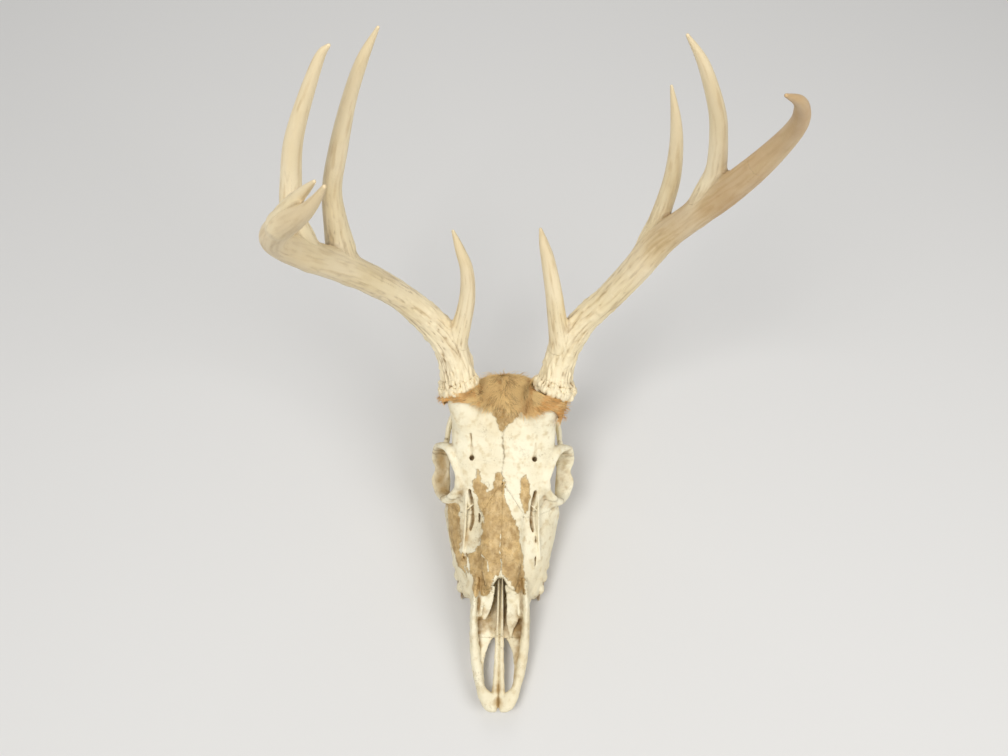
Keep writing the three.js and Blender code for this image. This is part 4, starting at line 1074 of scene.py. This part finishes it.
def scalp_clay(step, skin):
    """The skin's shell over the forehead and round the pedicles, with a torn edge."""
    clay, inner = (Clay(*SCALP_BOX, step) for _ in range(2))
    for one, grow in ((clay, skin), (inner, 0.35)):
        one.add(body(BRAINCASE, grow), 3)
        one.add(body(FOREHEAD, grow), 3)
        for sign in (1, -1):
            one.add(bar(PEDICLE, sign, guide=(1, 0, 0), pieces=14, grow=grow), 3)
    clay.add(egg(*CROWN), 9)
    outer = clay.d.copy()
    x, y, z = clay.whole()
    flat = np.stack(np.broadcast_arrays(x[:, :, 0], y[:, :, 0], 0 * x[:, :, 0]), axis=-1)
    torn = 1.1 * grain(flat, 5, 21) + 0.7 * grain(flat, 1.9, 22)
    edge = np.interp(x[:, :, 0], *np.array(SCALP_EDGE).T) + torn
    edge = edge[:, :, None] - 0.866 * y - 0.5 * z
    _, side_z = wavy(y[0], z[0], 24)
    for sign in (1, -1):
        edge = np.maximum(edge, np.minimum(sign * x - 24, SCALP_LOW[sign] - side_z[None]))
    back = y - 266 - 3 * np.abs(x) / 24 + torn[:, :, None]
    clay.d = highest(clay.d, -inner.d, edge, back).astype(np.float32)
    for beam in (RIGHT_ANTLER["beam"], LEFT_ANTLER["beam"]):
        up, out = beside_root(beam, x, y, z)
        cone = np.where(out < 21, 0.7 * (out - 14.8 + up + PEDICLE_END), -9)
        clay.d = highest(clay.d, cone, -burr_room(beam, x, y, z) + 0.2).astype(np.float32)
    clay.d = closed_off(clay.d)
    return clay, outer


def hair_lie(p):
    """The way the hair lies from above: forwards in the middle, and outwards on both sides, where
    the left hangs lower."""
    side = np.clip((p[:, 0] - WHORL[0]) / 20, -1.2, 1.2)
    ahead = (p[:, 1] - WHORL[1]) / 55 * np.exp(-(side**4)) - 0.12 - 0.4 * np.clip(side, 0, 1)
    return np.stack([1.5 * side, ahead, 0 * side], axis=1)


def tuft_roots(dice, clay, outer, vertices, quads, count):
    """Random places on the outer side of the skin, spread evenly over its area."""
    corner = vertices[quads]
    middle = corner.mean(axis=1)
    normal = np.cross(corner[:, 2] - corner[:, 0], corner[:, 3] - corner[:, 1])
    area = np.linalg.norm(normal, axis=1)
    top = (normal / area[:, None] * outward(clay, outer, middle)).sum(axis=1) > 0.4
    top &= np.abs(sampled(clay, outer, middle)) < 3.0
    pick = dice.choice(np.nonzero(top)[0], count, p=area[top] / area[top].sum())
    mix = dice.dirichlet([1, 1, 1, 1], count)[:, :, None]
    return (corner[pick] * mix).sum(axis=1)


def tuft_paths(dice, clay, outer, root, length, t):
    """A curve from each root along the lie of the hair, kept at a small height over the skin, and
    the directions away from the skin along it. The hair is messiest in the middle."""
    count, rings = len(root), t.size
    up = outward(clay, outer, root)
    mess = np.exp(-(((root[:, 0] - 6) / 18) ** 2))[:, None]
    swirl = np.stack([grain(root, 10, 30 + k) + 0.8 * grain(root, 4, 40 + k) for k in range(3)], axis=1)
    lie = hair_lie(root) + (0.3 + 0.7 * mess) * swirl + (0.07 + 0.1 * mess) * dice.normal(size=(count, 3))
    lie = unit(lie - (lie * up).sum(axis=1, keepdims=True) * up)
    long = length * dice.uniform(0.55, 1.15, (count, 1)) * (1 - 0.15 * mess)
    lift = (0.9 + 2.3 * mess) * dice.uniform(0.1, 1.0, (count, 1))
    stray = (dice.uniform(size=(count, 1)) < 0.035) * dice.uniform(2, 6, (count, 1))
    bend = dice.normal(size=(count, 1)) * (0.10 + 0.14 * mess)
    across = np.cross(lie, up)
    path = root[:, None] + long[:, None] * t * (lie[:, None] + bend[:, None] * t * across[:, None])
    flat = path.reshape(-1, 3)
    height = -0.5 + t * (lift + stray)[:, None] * (1.7 - 0.7 * t) + 0.5 * t
    for _ in range(2):
        away = outward(clay, outer, flat)
        flat = flat + away * (height.reshape(-1, 1) - sampled(clay, outer, flat)[:, None]).clip(-2.5, 2.5)
    return flat.reshape(count, rings, 3), away.reshape(count, rings, 3)


def hair_tufts(clay, outer, vertices, quads, count, length, seed):
    """Tufts of hair as closed tapering blades.

    Each blade is a three-sided rod carried along a curve that leaves the skin at its root,
    follows the lie of the hair and stays at a small height over the skin, narrowing to a point.
    """
    dice = np.random.default_rng(seed)
    root = tuft_roots(dice, clay, outer, vertices, quads, count)
    rings, sides = 5, 3  # along each blade, and round it
    t = np.linspace(0, 1, rings)[None, :, None]
    path, away = tuft_paths(dice, clay, outer, root, length, t)
    flank = unit(np.cross(unit(np.gradient(path, axis=1)), away))
    wide = dice.uniform(0.12, 0.26, (count, 1, 1)) * (1 - t**2.2 * 0.93)
    ring = np.stack([path + flank * wide, path + away * wide * 0.7, path - flank * wide], axis=2)
    start = (np.arange(count) * rings * sides)[:, None, None]
    k = (np.arange(rings - 1) * sides)[None, :, None]
    j = np.arange(sides)[None, None, :]
    a, b = start + k + j, start + k + (j + 1) % sides
    flanks = np.stack([a, a + sides, b + sides, b], axis=-1).reshape(-1, 4)
    foot = start[:, 0] + np.array([[0, 1, 2]])
    tip = start[:, 0] + (rings - 1) * sides + np.array([[2, 1, 0]])
    lock = grain(root, 3.2, 61) + 0.4 * dice.normal(size=count)
    values = {
        "tip": np.tile(np.repeat(t.ravel(), sides), count), "lock": np.repeat(lock, rings * sides),
    }
    return ring.reshape(-1, 3), flanks, np.concatenate([foot, tip]), root, values


def unwrap_tufts(made, root, points):
    """Lays each tuft out as a patch 0.003 across at its root's place on the scalp's unwrap.

    The unwrap rolls the scalp off a barrel that lies along y: the turn about the barrel's
    axis goes across, and y goes up.
    """
    turn = np.arctan2(root[:, 0], root[:, 2] - 62) / 2.4 + 0.5
    up = (root[:, 1] - 205) / 70
    place = np.clip(np.stack([turn, up], axis=1), 0.01, 0.99)
    each = len(points) // len(root)
    ring = np.arange(len(points)) % each
    own = np.stack([(ring % 3) / 2, (ring // 3) / (each // 3 - 1)], axis=1) * 0.003 - 0.0015
    flat = np.repeat(place, each, axis=0) + own
    layer = made.data.uv_layers.new(name="OFBake")
    corner = np.empty(len(made.data.loops), np.int32)
    made.data.loops.foreach_get("vertex_index", corner)
    layer.data.foreach_set("uv", flat[corner].astype(np.float32).ravel())


# ------------------------------------------------------------------ finishes


def from_hex(code):
    """An sRGB hex colour as the linear red, green, blue and alpha that a socket takes."""
    parts = [int(code[k:k + 2], 16) / 255 for k in (0, 2, 4)]
    return (*((c / 12.92 if c <= 0.04045 else ((c + 0.055) / 1.055) ** 2.4) for c in parts), 1.0)


def feed(tree, node, inputs):
    """Gives a node's sockets their numbers, their colours or the sockets that feed them."""
    for name, value in inputs.items():
        if isinstance(value, bpy.types.NodeSocket):
            tree.links.new(value, node.inputs[name])
        else:
            node.inputs[name].default_value = value


def add(tree, kind, inputs=None, output=0, **settings):
    """One node of this kind with these inputs, of which the named output is handed back."""
    made = tree.nodes.new(kind)
    for name, value in settings.items():
        setattr(made, name, value)
    feed(tree, made, inputs or {})
    return made.outputs[output]


def noise(tree, place, size, detail):
    """Cloudy noise whose largest clouds are this many millimetres across."""
    return add(tree, "ShaderNodeTexNoise", {"Vector": place, "Scale": 1000 / size, "Detail": detail})


def spread(tree, value, low, high, first=0.0, last=1.0):
    """Stretches a value that runs from low to high so that it runs from first to last."""
    inputs = {"Value": value, "From Min": low, "From Max": high, "To Min": first, "To Max": last}
    return add(tree, "ShaderNodeMapRange", inputs)


def sums(tree, kind, first, second):
    """One step of arithmetic on two numbers or sockets."""
    return add(tree, "ShaderNodeMath", {0: first, 1: second}, operation=kind)


def blend(tree, share, first, second):
    """A colour this share of the way from the first to the second, which are sockets, hex codes
    or colours from the panel."""
    codes = [from_hex(c) if isinstance(c, str) else c for c in (first, second)]
    codes = [(*c, 1) if isinstance(c, Color) else c for c in codes]
    return add(tree, "ShaderNodeMix", {0: share, 6: codes[0], 7: codes[1]}, output=2, data_type="RGBA")


def layered(tree, colour, *layers):
    """A colour with others laid over it in turn, each given as its share and its hex code."""
    for share, code in layers:
        colour = blend(tree, share, colour, code)
    return colour


def times(tree, first, second):
    """Two numbers or sockets multiplied."""
    return sums(tree, "MULTIPLY", first, second)


def attribute(tree, name):
    """A number that a mesh keeps at each of its points."""
    return add(tree, "ShaderNodeAttribute", output="Fac", attribute_name=name)


def finish_called(name):
    """An empty material, its node tree and its shader, and the place on the object."""
    material = bpy.data.materials.new(name)
    material.use_nodes = True
    tree = material.node_tree
    place = add(tree, "ShaderNodeTexCoord", output="Object")
    return material, tree, tree.nodes["Principled BSDF"], place


def dressed(tree, shader, colour, roughness, height, strength, depth):
    """Gives the shader its colour and roughness, and a bump this many millimetres deep."""
    bump = add(tree, "ShaderNodeBump", {"Height": height, "Strength": strength, "Distance": depth / 1000})
    feed(tree, shader, {"Base Color": colour, "Roughness": roughness, "Normal": bump})


def bone_finish(look):
    """Weathered bone: chalky cream, bleached and stained in clouds, pitted like sponge in places,
    with painted shade darkening its hollows and, where the tissue number is above nought, dried brown
    tissue."""
    material, tree, shader, place = finish_called("Weathered bone")
    tissue, hollow = attribute(tree, "tissue"), attribute(tree, "hollow")
    stain, seam = attribute(tree, "stain"), attribute(tree, "seam")
    broad, mottle, fine = (noise(tree, place, size, 5) for size in (38, 6, 1.2))
    lengthwise = add(tree, "ShaderNodeMapping", {0: place, 3: (1, 0.55, 0.65)})
    streak = noise(tree, lengthwise, 3.2, 4)
    bone = blend(tree, spread(tree, broad, 0.4, 0.62), look.bone, "e9dcb9")
    spots = spread(tree, mottle, 0.5, 0.7, 0, 0.55)
    bone = blend(tree, spots, bone, "d9c597")
    old = sums(tree, "ADD", stain, spread(tree, mottle, 0.3, 0.7, -0.3, 0.3))
    old = times(tree, spread(tree, old, 0.1, 1.0), spread(tree, hollow, 0.3, 0.6, 0.15, 1))
    bone = blend(tree, old, bone, look.stain)
    worn = spread(tree, streak, 0.52, 0.7, 0, 0.5)
    bone = blend(tree, times(tree, worn, spread(tree, stain, 0.1, 0.7)), bone, "a08352")
    pores = add(tree, "ShaderNodeTexVoronoi", {"Vector": place, "Scale": 1000 / 1.1})
    sponge = spread(tree, noise(tree, place, 15, 3), 0.48, 0.64)
    pit = times(tree, spread(tree, pores, 0.1, 0.5, 1, 0), sponge)
    pit = times(tree, pit, spread(tree, fine, 0.42, 0.62))
    bone = blend(tree, times(tree, pit, 0.8), bone, "b7a479")
    # Painted shade: the more closed in a place is, the browner it is painted, broken up by the mottle.
    crevice_shade = spread(tree, hollow, 0.6, 0.92)
    crevice_shade = times(tree, crevice_shade, spread(tree, mottle, 0.3, 0.6, 0.3, 0.9))
    bone = blend(tree, crevice_shade, bone, "94733f")
    joint = times(tree, seam, spread(tree, mottle, 0.42, 0.6, 0.1, 0.8))
    bone = blend(tree, joint, bone, "8d744b")
    ragged = sums(tree, "ADD", tissue, spread(tree, mottle, 0, 1, -4.5, 4.5))
    ragged = sums(tree, "ADD", ragged, spread(tree, fine, 0, 1, -1.4, 1.4))
    mask = spread(tree, ragged, 0, 0.5)
    skin = blend(tree, spread(tree, mottle, 0.4, 0.62), look.tissue, "ab8a54")
    skin = layered(
        tree, skin, (spread(tree, streak, 0.45, 0.68, 0, 0.7), "e6ca95"),
        (spread(tree, broad, 0.44, 0.62, 0, 0.5), "a1804c"),
        (spread(tree, fine, 0.52, 0.72, 0, 0.5), "8b6c3e"),
        (spread(tree, ragged, 1.4, 0.2, 0, 0.6), "dcc697"),
    )
    colour = blend(tree, mask, bone, skin)
    height = sums(tree, "ADD", mottle, times(tree, fine, 0.7))
    height = sums(tree, "SUBTRACT", height, times(tree, pit, 1.2))
    height = sums(tree, "ADD", height, times(tree, mask, 0.9))
    height = sums(tree, "ADD", height, times(tree, streak, mask))
    dressed(tree, shader, colour, spread(tree, mask, 0, 1, 0.62, 0.55), height, 0.8, 0.6)
    return material


def tooth_finish(look):
    """Tooth enamel: glossier and yellower than bone, with brown stain low in its folds."""
    material, tree, shader, place = finish_called("Tooth enamel")
    clouds = noise(tree, place, 4, 5)
    height = add(tree, "ShaderNodeSeparateXYZ", {0: place}, output="Z")
    much = sums(tree, "ADD", clouds, spread(tree, height, 0.001, 0.012, 0, 0.25))
    colour = blend(tree, spread(tree, much, 0.42, 0.8), look.enamel, "a58556")
    dressed(tree, shader, colour, 0.32, clouds, 0.4, 0.3)
    return material


def antler_finish(look):
    """Antler: hard pale tan bone, brown where dirt stays in the grooves that run along it and
    rubbed smooth and pale on ridges and pearls, and greyer and plainer towards the tips, with painted shade
    darkening its dents and, as tan, its upper beams."""
    material, tree, shader, place = finish_called("Antler")
    groove, bold, tan = (attribute(tree, name) for name in ("groove", "bold", "tan"))
    streak, tip, hollow = (attribute(tree, name) for name in ("streak", "tip", "hollow"))
    broad, mottle, fine = (noise(tree, place, size, 5) for size in (45, 7, 1.6))
    colour = blend(tree, spread(tree, broad, 0.4, 0.62), look.antler, "e2cfa4")
    colour = blend(tree, tip, colour, "e6d2a9")
    # Painted shade: the upper beams darkened to tan, most on the left antler.
    upper_beam_shade = times(tree, tan, spread(tree, broad, 0.3, 0.6, 0.7, 1))
    colour = blend(tree, upper_beam_shade, colour, "ae8044")
    lines = sums(tree, "ADD", streak, spread(tree, fine, 0, 1, -0.2, 0.2))
    colour = blend(tree, spread(tree, lines, 0.1, 0.9, 0, 0.42), colour, "c0a26e")
    deep = times(tree, spread(tree, groove, 0, -0.44), spread(tree, mottle, 0.36, 0.58, 0.55, 1))
    colour = blend(tree, times(tree, deep, bold), colour, look.groove)
    # Painted shade: the groove's brown laid into the dents, broken up by the mottle.
    dent_shade = times(tree, spread(tree, hollow, 0.52, 0.66), spread(tree, mottle, 0.3, 0.55, 0.5, 1))
    colour = blend(tree, dent_shade, colour, look.groove)
    rubbed = times(tree, spread(tree, groove, 0.1, 0.45), bold)
    colour = blend(tree, times(tree, rubbed, 0.55), colour, "f6e8c3")
    height = sums(tree, "ADD", times(tree, mottle, 0.5), fine)
    dressed(tree, shader, colour, spread(tree, bold, 0, 1, 0.45, 0.6), height, 0.4, 0.4)
    return material


def coat_colour(tree, place, look):
    """The coat's markings, shared by skin and tufts: golden brown, straw in the middle, with
    darker patches, all by place on the scalp, and the fine noise that they are broken up with."""
    broad, fine = noise(tree, place, 11, 5), noise(tree, place, 1.8, 3)
    across = add(tree, "ShaderNodeSeparateXYZ", {0: place})
    middle = sums(tree, "ABSOLUTE", sums(tree, "SUBTRACT", across, -0.004), 0)
    straw = sums(tree, "ADD", broad, spread(tree, middle, 0.01, 0.036, 0.22, -0.04))
    colour = blend(tree, spread(tree, straw, 0.46, 0.62), look.hair, look.straw)
    colour = blend(tree, spread(tree, broad, 0.44, 0.34, 0, 0.5), colour, "b27c3c")
    return blend(tree, spread(tree, fine, 0.6, 0.8, 0, 0.3), colour, "9a6c38"), fine


def skin_finish(look):
    """Dried hide: hard, dull, dark red brown rawhide with the coat's colour rubbed over it."""
    material, tree, shader, place = finish_called("Dried hide")
    colour, fine = coat_colour(tree, place, look)
    colour = blend(tree, 0.55, colour, look.hide)
    dressed(tree, shader, colour, 0.7, fine, 0.8, 0.6)
    return material


def hair_finish(look):
    """Deer hair: hollow, coarse and matt, darker at the root than at the tip, and paler or darker
    from one lock to the next."""
    material, tree, shader, place = finish_called("Deer hair")
    colour, fine = coat_colour(tree, place, look)
    tip, lock = attribute(tree, "tip"), attribute(tree, "lock")
    colour = layered(
        tree, colour, (spread(tree, lock, -0.25, -0.8, 0, 0.75), "94642c"),
        (spread(tree, lock, 0.1, 0.7, 0, 0.7), "ffe2a4"), (spread(tree, tip, 0.3, 1.0, 0, 0.5), "ffe2a4"),
    )
    dressed(tree, shader, colour, 0.6, fine, 0.1, 0.1)
    return material


def floor_finish(look):
    """Matt pale board: plain, with a trace of tooth so that it doesn't read as plastic."""
    material, tree, shader, place = finish_called("Pale board")
    dressed(tree, shader, (*look.floor, 1), 0.85, noise(tree, place, 3, 3), 0.1, 0.2)
    return material


# ------------------------------------------------------------------ sizes and colours to change


def millimetres(label, description, default, low, high):
    """A size that is shown in the scene's own units; the mesh functions take it times 1000."""
    return bpy.props.FloatProperty(
        name=label, description=description, default=default / 1000, min=low / 1000, max=high / 1000,
        precision=5, unit="LENGTH", subtype="DISTANCE",
    )


def colour_choice(label, description, code):
    """A colour to choose, from its sRGB hex code."""
    return bpy.props.FloatVectorProperty(
        name=label, description=description, default=from_hex(code)[:3], min=0, max=1, subtype="COLOR",
    )


def spacing(size):
    return 1000 * size * 1


def take_place(made, node):
    """Hides the solid in whose place a piece goes."""
    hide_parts(node)


class DeerSkullLook(bpy.types.PropertyGroup):
    """How finely the skull is shaped, how its hair grows, and its colours."""

    bone_step: millimetres("Bone step", "Spacing of the grid that shapes the bones", 0.8, 0.4, 3)
    antler_step: millimetres("Antler step", "Spacing of the grid that shapes the antlers", 0.75, 0.4, 3)
    skin_depth: millimetres("Skin depth", "Thickness of the dried scalp without its hair", 3.6, 1, 6)
    hair_length: millimetres("Hair length", "Length of the longer tufts", 12, 2, 20)
    tufts: bpy.props.IntProperty(
        name="Tufts", description="Tufts on each part of the scalp", default=5600, min=10, max=7600,
    )
    bone: colour_choice("Bone", "Clean bone in the light", "f4ebcd")
    stain: colour_choice("Stain", "Bone stained by old tissue", "b99a66")
    tissue: colour_choice("Tissue", "Dried tissue left on the nose and cheek", "d6b478")
    enamel: colour_choice("Enamel", "The cheek teeth", "efe6cd")
    antler: colour_choice("Antler", "Clean antler in the light", "ecdcb8")
    # Also the colour of the painted shade in the antlers' dents.
    groove: colour_choice("Groove", "Dirt in the antlers' grooves", "927348")
    hide: colour_choice("Hide", "The scalp's bare skin", "714a2c")
    hair: colour_choice("Hair", "Most of the coat", "efb05c")
    straw: colour_choice("Straw", "The coat's paler middle", "ffdf9c")
    floor: colour_choice("Floor", "The board that the skull lies on", "d8d6d2")


class DEERSKULL_OT_bones(bpy.types.Operator):
    """Shape the skull and part it into its bones"""

    bl_idname = "deerskull.bones"
    bl_label = "Bones"

    def execute(self, context):
        look = context.scene.deer_skull
        step = spacing(look.bone_step)
        clay = skull_clay(step)
        occupied = softened(clay.d < 0, max(1, round(3.2 / step)))
        finish = bone_finish(look)
        for name, region in bone_regions(clay).items():
            own = closed_off(np.maximum(clay.d, region))
            vertices, quads = wrapped(clay, own)
            vertices, seam, skull = crisp(clay, region, vertices)
            out = outward(clay, clay.d, vertices)
            cover = tissue_cover(vertices)
            vertices = vertices + out * (bone_relief(vertices, cover) * (skull < 0.6 * step))[:, None]
            joint = np.clip(1 - seam / 1.4, 0, 1) * np.clip((vertices[:, 1] - 150) / 20, 0, 1)
            # How closed in each point is, read from the softened solid just outside it; the finish paints
            # shade from it.
            crevice_shade = 1.6 * sampled(clay, occupied, vertices + out * 1.2)
            values = {"tissue": cover, "stain": stained(vertices), "seam": joint, "hollow": crevice_shade}
            take_place(cast(name, vertices, quads, finish, values), node_of(name))
        vertices, quads = wrapped(vomer_clay(clay))
        plain = {"tissue": -9.0, "stain": 0.25, "seam": 0.0, "hollow": 0.5}
        values = {name: np.full(len(vertices), value) for name, value in plain.items()}
        take_place(cast("vomer_bone", vertices, quads, finish, values), "vomer")
        return {"FINISHED"}


class DEERSKULL_OT_teeth(bpy.types.Operator):
    """Make the two rows of cheek teeth"""

    bl_idname = "deerskull.teeth"
    bl_label = "Cheek teeth"

    def execute(self, context):
        finish = tooth_finish(context.scene.deer_skull)
        for name, sign in (("left", 1), ("right", -1)):
            made = cast(f"{name}_cheek_teeth", *wrapped(tooth_clay(sign, FINE_STEP)), finish)
            take_place(made, f"maxilla_and_teeth_{name}")
        return {"FINISHED"}


class DEERSKULL_OT_antlers(bpy.types.Operator):
    """Shape both antlers, each in one piece, and part them beside their forks"""

    bl_idname = "deerskull.antlers"
    bl_label = "Antlers"

    def execute(self, context):
        look = context.scene.deer_skull
        step = spacing(look.antler_step)
        finish = antler_finish(look)
        # The last number scales the painted shade that tans each upper beam: more on the left antler, which
        # the key light leaves in shade.
        for name, horns, seed, tan in (("right", RIGHT_ANTLER, 4, 0.15), ("left", LEFT_ANTLER, 9, 0.75)):
            vertices, quads, label, values = antler_surface(horns, step, seed)
            values["tan"] *= tan
            names = ["beam_base", "beam_middle", "beam_tip", *list(horns)[1:]]
            for own, (faces, fans) in parted(len(vertices), quads, label).items():
                piece = f"{name}_{names[own]}"
                made = cast_closed(piece, vertices, faces, fans, finish, values)
                take_place(made, f"antler_{piece}")
        return {"FINISHED"}


class DEERSKULL_OT_scalp(bpy.types.Operator):
    """Make the dried strip of scalp between and around the pedicles, with its hair"""

    bl_idname = "deerskull.scalp"
    bl_label = "Scalp and hair"

    def execute(self, context):
        look = context.scene.deer_skull
        clay, outer = scalp_clay(SCALP_STEP, 1000 * look.skin_depth)
        vertices, quads = wrapped(clay)
        skin = cast("dried_scalp_skin", vertices, quads, skin_finish(look))
        take_place(skin, "scalp")
        finish = hair_finish(look)
        middle = vertices[quads].mean(axis=1)[:, 0]
        count = look.tufts // 1
        for name, (low, high, seed) in HAIR_PARTS.items():
            here = quads[(middle > low) & (middle < high)]
            points, faces, ends, root, values = hair_tufts(
                clay, outer, vertices, here, count, 1000 * look.hair_length, seed,
            )
            made = cast(f"scalp_hair_{name}", points, faces, finish, values, ends)
            unwrap_tufts(made, root, points)
            take_place(made, "scalp")
        return {"FINISHED"}


# The lamps, each with its place in metres, its width and its power in watts.
LAMPS = (
    ("key", (-0.5, -0.6, 1.6), 0.7, 15), ("fill", (1.0, -0.6, 1.2), 1.0, 10.5),
    ("rim", (-0.1, 1.3, 1.3), 1.0, 4),
)
LAMP_TARGET = np.array([0, 0.03, 0.12])
SKY_POWER = 0.42
FLOOR_HALF = 3  # half the floor's side in metres
# The camera looks down on the skull from the front and 60 degrees up, turned a little on its axis.
# Its place is in the skull's millimetres, and its roll is in degrees.
CAMERA_PLACE = np.array([-0.7, -129.4, 782.7])
CAMERA_AHEAD, CAMERA_ROLL = (0, 0.5, -math.sqrt(3) / 2), 1.18
SENSOR_WIDTH, LENS = 36, 32.14


def aimed(ahead, roll=0.0):
    """The turn that points a lamp or camera along a direction, then rolls it in degrees."""
    turn = Vector(ahead).to_track_quat("-Z", "Y")
    return (turn @ Quaternion((0, 0, 1), math.radians(roll))).to_euler()


class DEERSKULL_OT_stage(bpy.types.Operator):
    """Set up the floor, the light and the camera"""

    bl_idname = "deerskull.stage"
    bl_label = "Stage"

    def execute(self, context):
        scene = context.scene
        mesh = bpy.data.meshes.new("floor")
        corners = [(FLOOR_HALF * a, FLOOR_HALF * b, 0) for a, b in ((-1, -1), (1, -1), (1, 1), (-1, 1))]
        mesh.from_pydata(corners, [], [(0, 1, 2, 3)])
        floor = bpy.data.objects.new("floor", mesh)
        mesh.materials.append(floor_finish(scene.deer_skull))
        scene.collection.objects.link(floor)
        world = bpy.data.worlds.new("Studio")
        world.use_nodes = True
        sky = world.node_tree.nodes["Background"]
        feed(world.node_tree, sky, {"Color": from_hex("f4f6fa"), "Strength": SKY_POWER})
        scene.world = world
        scene.view_settings.view_transform = "Standard"
        for name, place, size, power in LAMPS:
            lamp = bpy.data.lights.new(name, "AREA")
            lamp.shape, lamp.size, lamp.energy = "DISK", size, power
            made = bpy.data.objects.new(name, lamp)
            made.location = place
            made.rotation_euler = aimed(LAMP_TARGET - place)
            scene.collection.objects.link(made)
        lens = bpy.data.cameras.new("camera")
        lens.sensor_width, lens.lens = SENSOR_WIDTH, LENS
        lens.clip_start, lens.clip_end = 0.01, 20
        camera = bpy.data.objects.new("camera", lens)
        camera.location = (CAMERA_PLACE - FOOTPRINT) / 1000
        camera.rotation_euler = aimed(CAMERA_AHEAD, CAMERA_ROLL)
        scene.collection.objects.link(camera)
        scene.camera = camera
        return {"FINISHED"}


class DEERSKULL_PT_panel(bpy.types.Panel):
    """Sizes and the steps that build the skull"""

    bl_label = "Deer skull"
    bl_idname = "DEERSKULL_PT_panel"
    bl_space_type = "VIEW_3D"
    bl_region_type = "UI"
    bl_category = "Skull"

    def draw(self, context):
        sizes = context.scene.deer_skull
        for name in DeerSkullLook.__annotations__:
            self.layout.prop(sizes, name)
        for step in STEPS:
            self.layout.operator(step.bl_idname)


STEPS = (
    DEERSKULL_OT_bones, DEERSKULL_OT_teeth, DEERSKULL_OT_antlers, DEERSKULL_OT_scalp, DEERSKULL_OT_stage,
)
CLASSES = (DeerSkullLook, *STEPS, DEERSKULL_PT_panel)


def register():
    for one in CLASSES:
        bpy.utils.register_class(one)
    bpy.types.Scene.deer_skull = bpy.props.PointerProperty(type=DeerSkullLook)


def unregister():
    del bpy.types.Scene.deer_skull
    for one in reversed(CLASSES):
        bpy.utils.unregister_class(one)


def main():
    register()
    for step in STEPS:
        group, name = step.bl_idname.split(".")
        getattr(getattr(bpy.ops, group), name)()


if __name__ == "__main__":
    main()
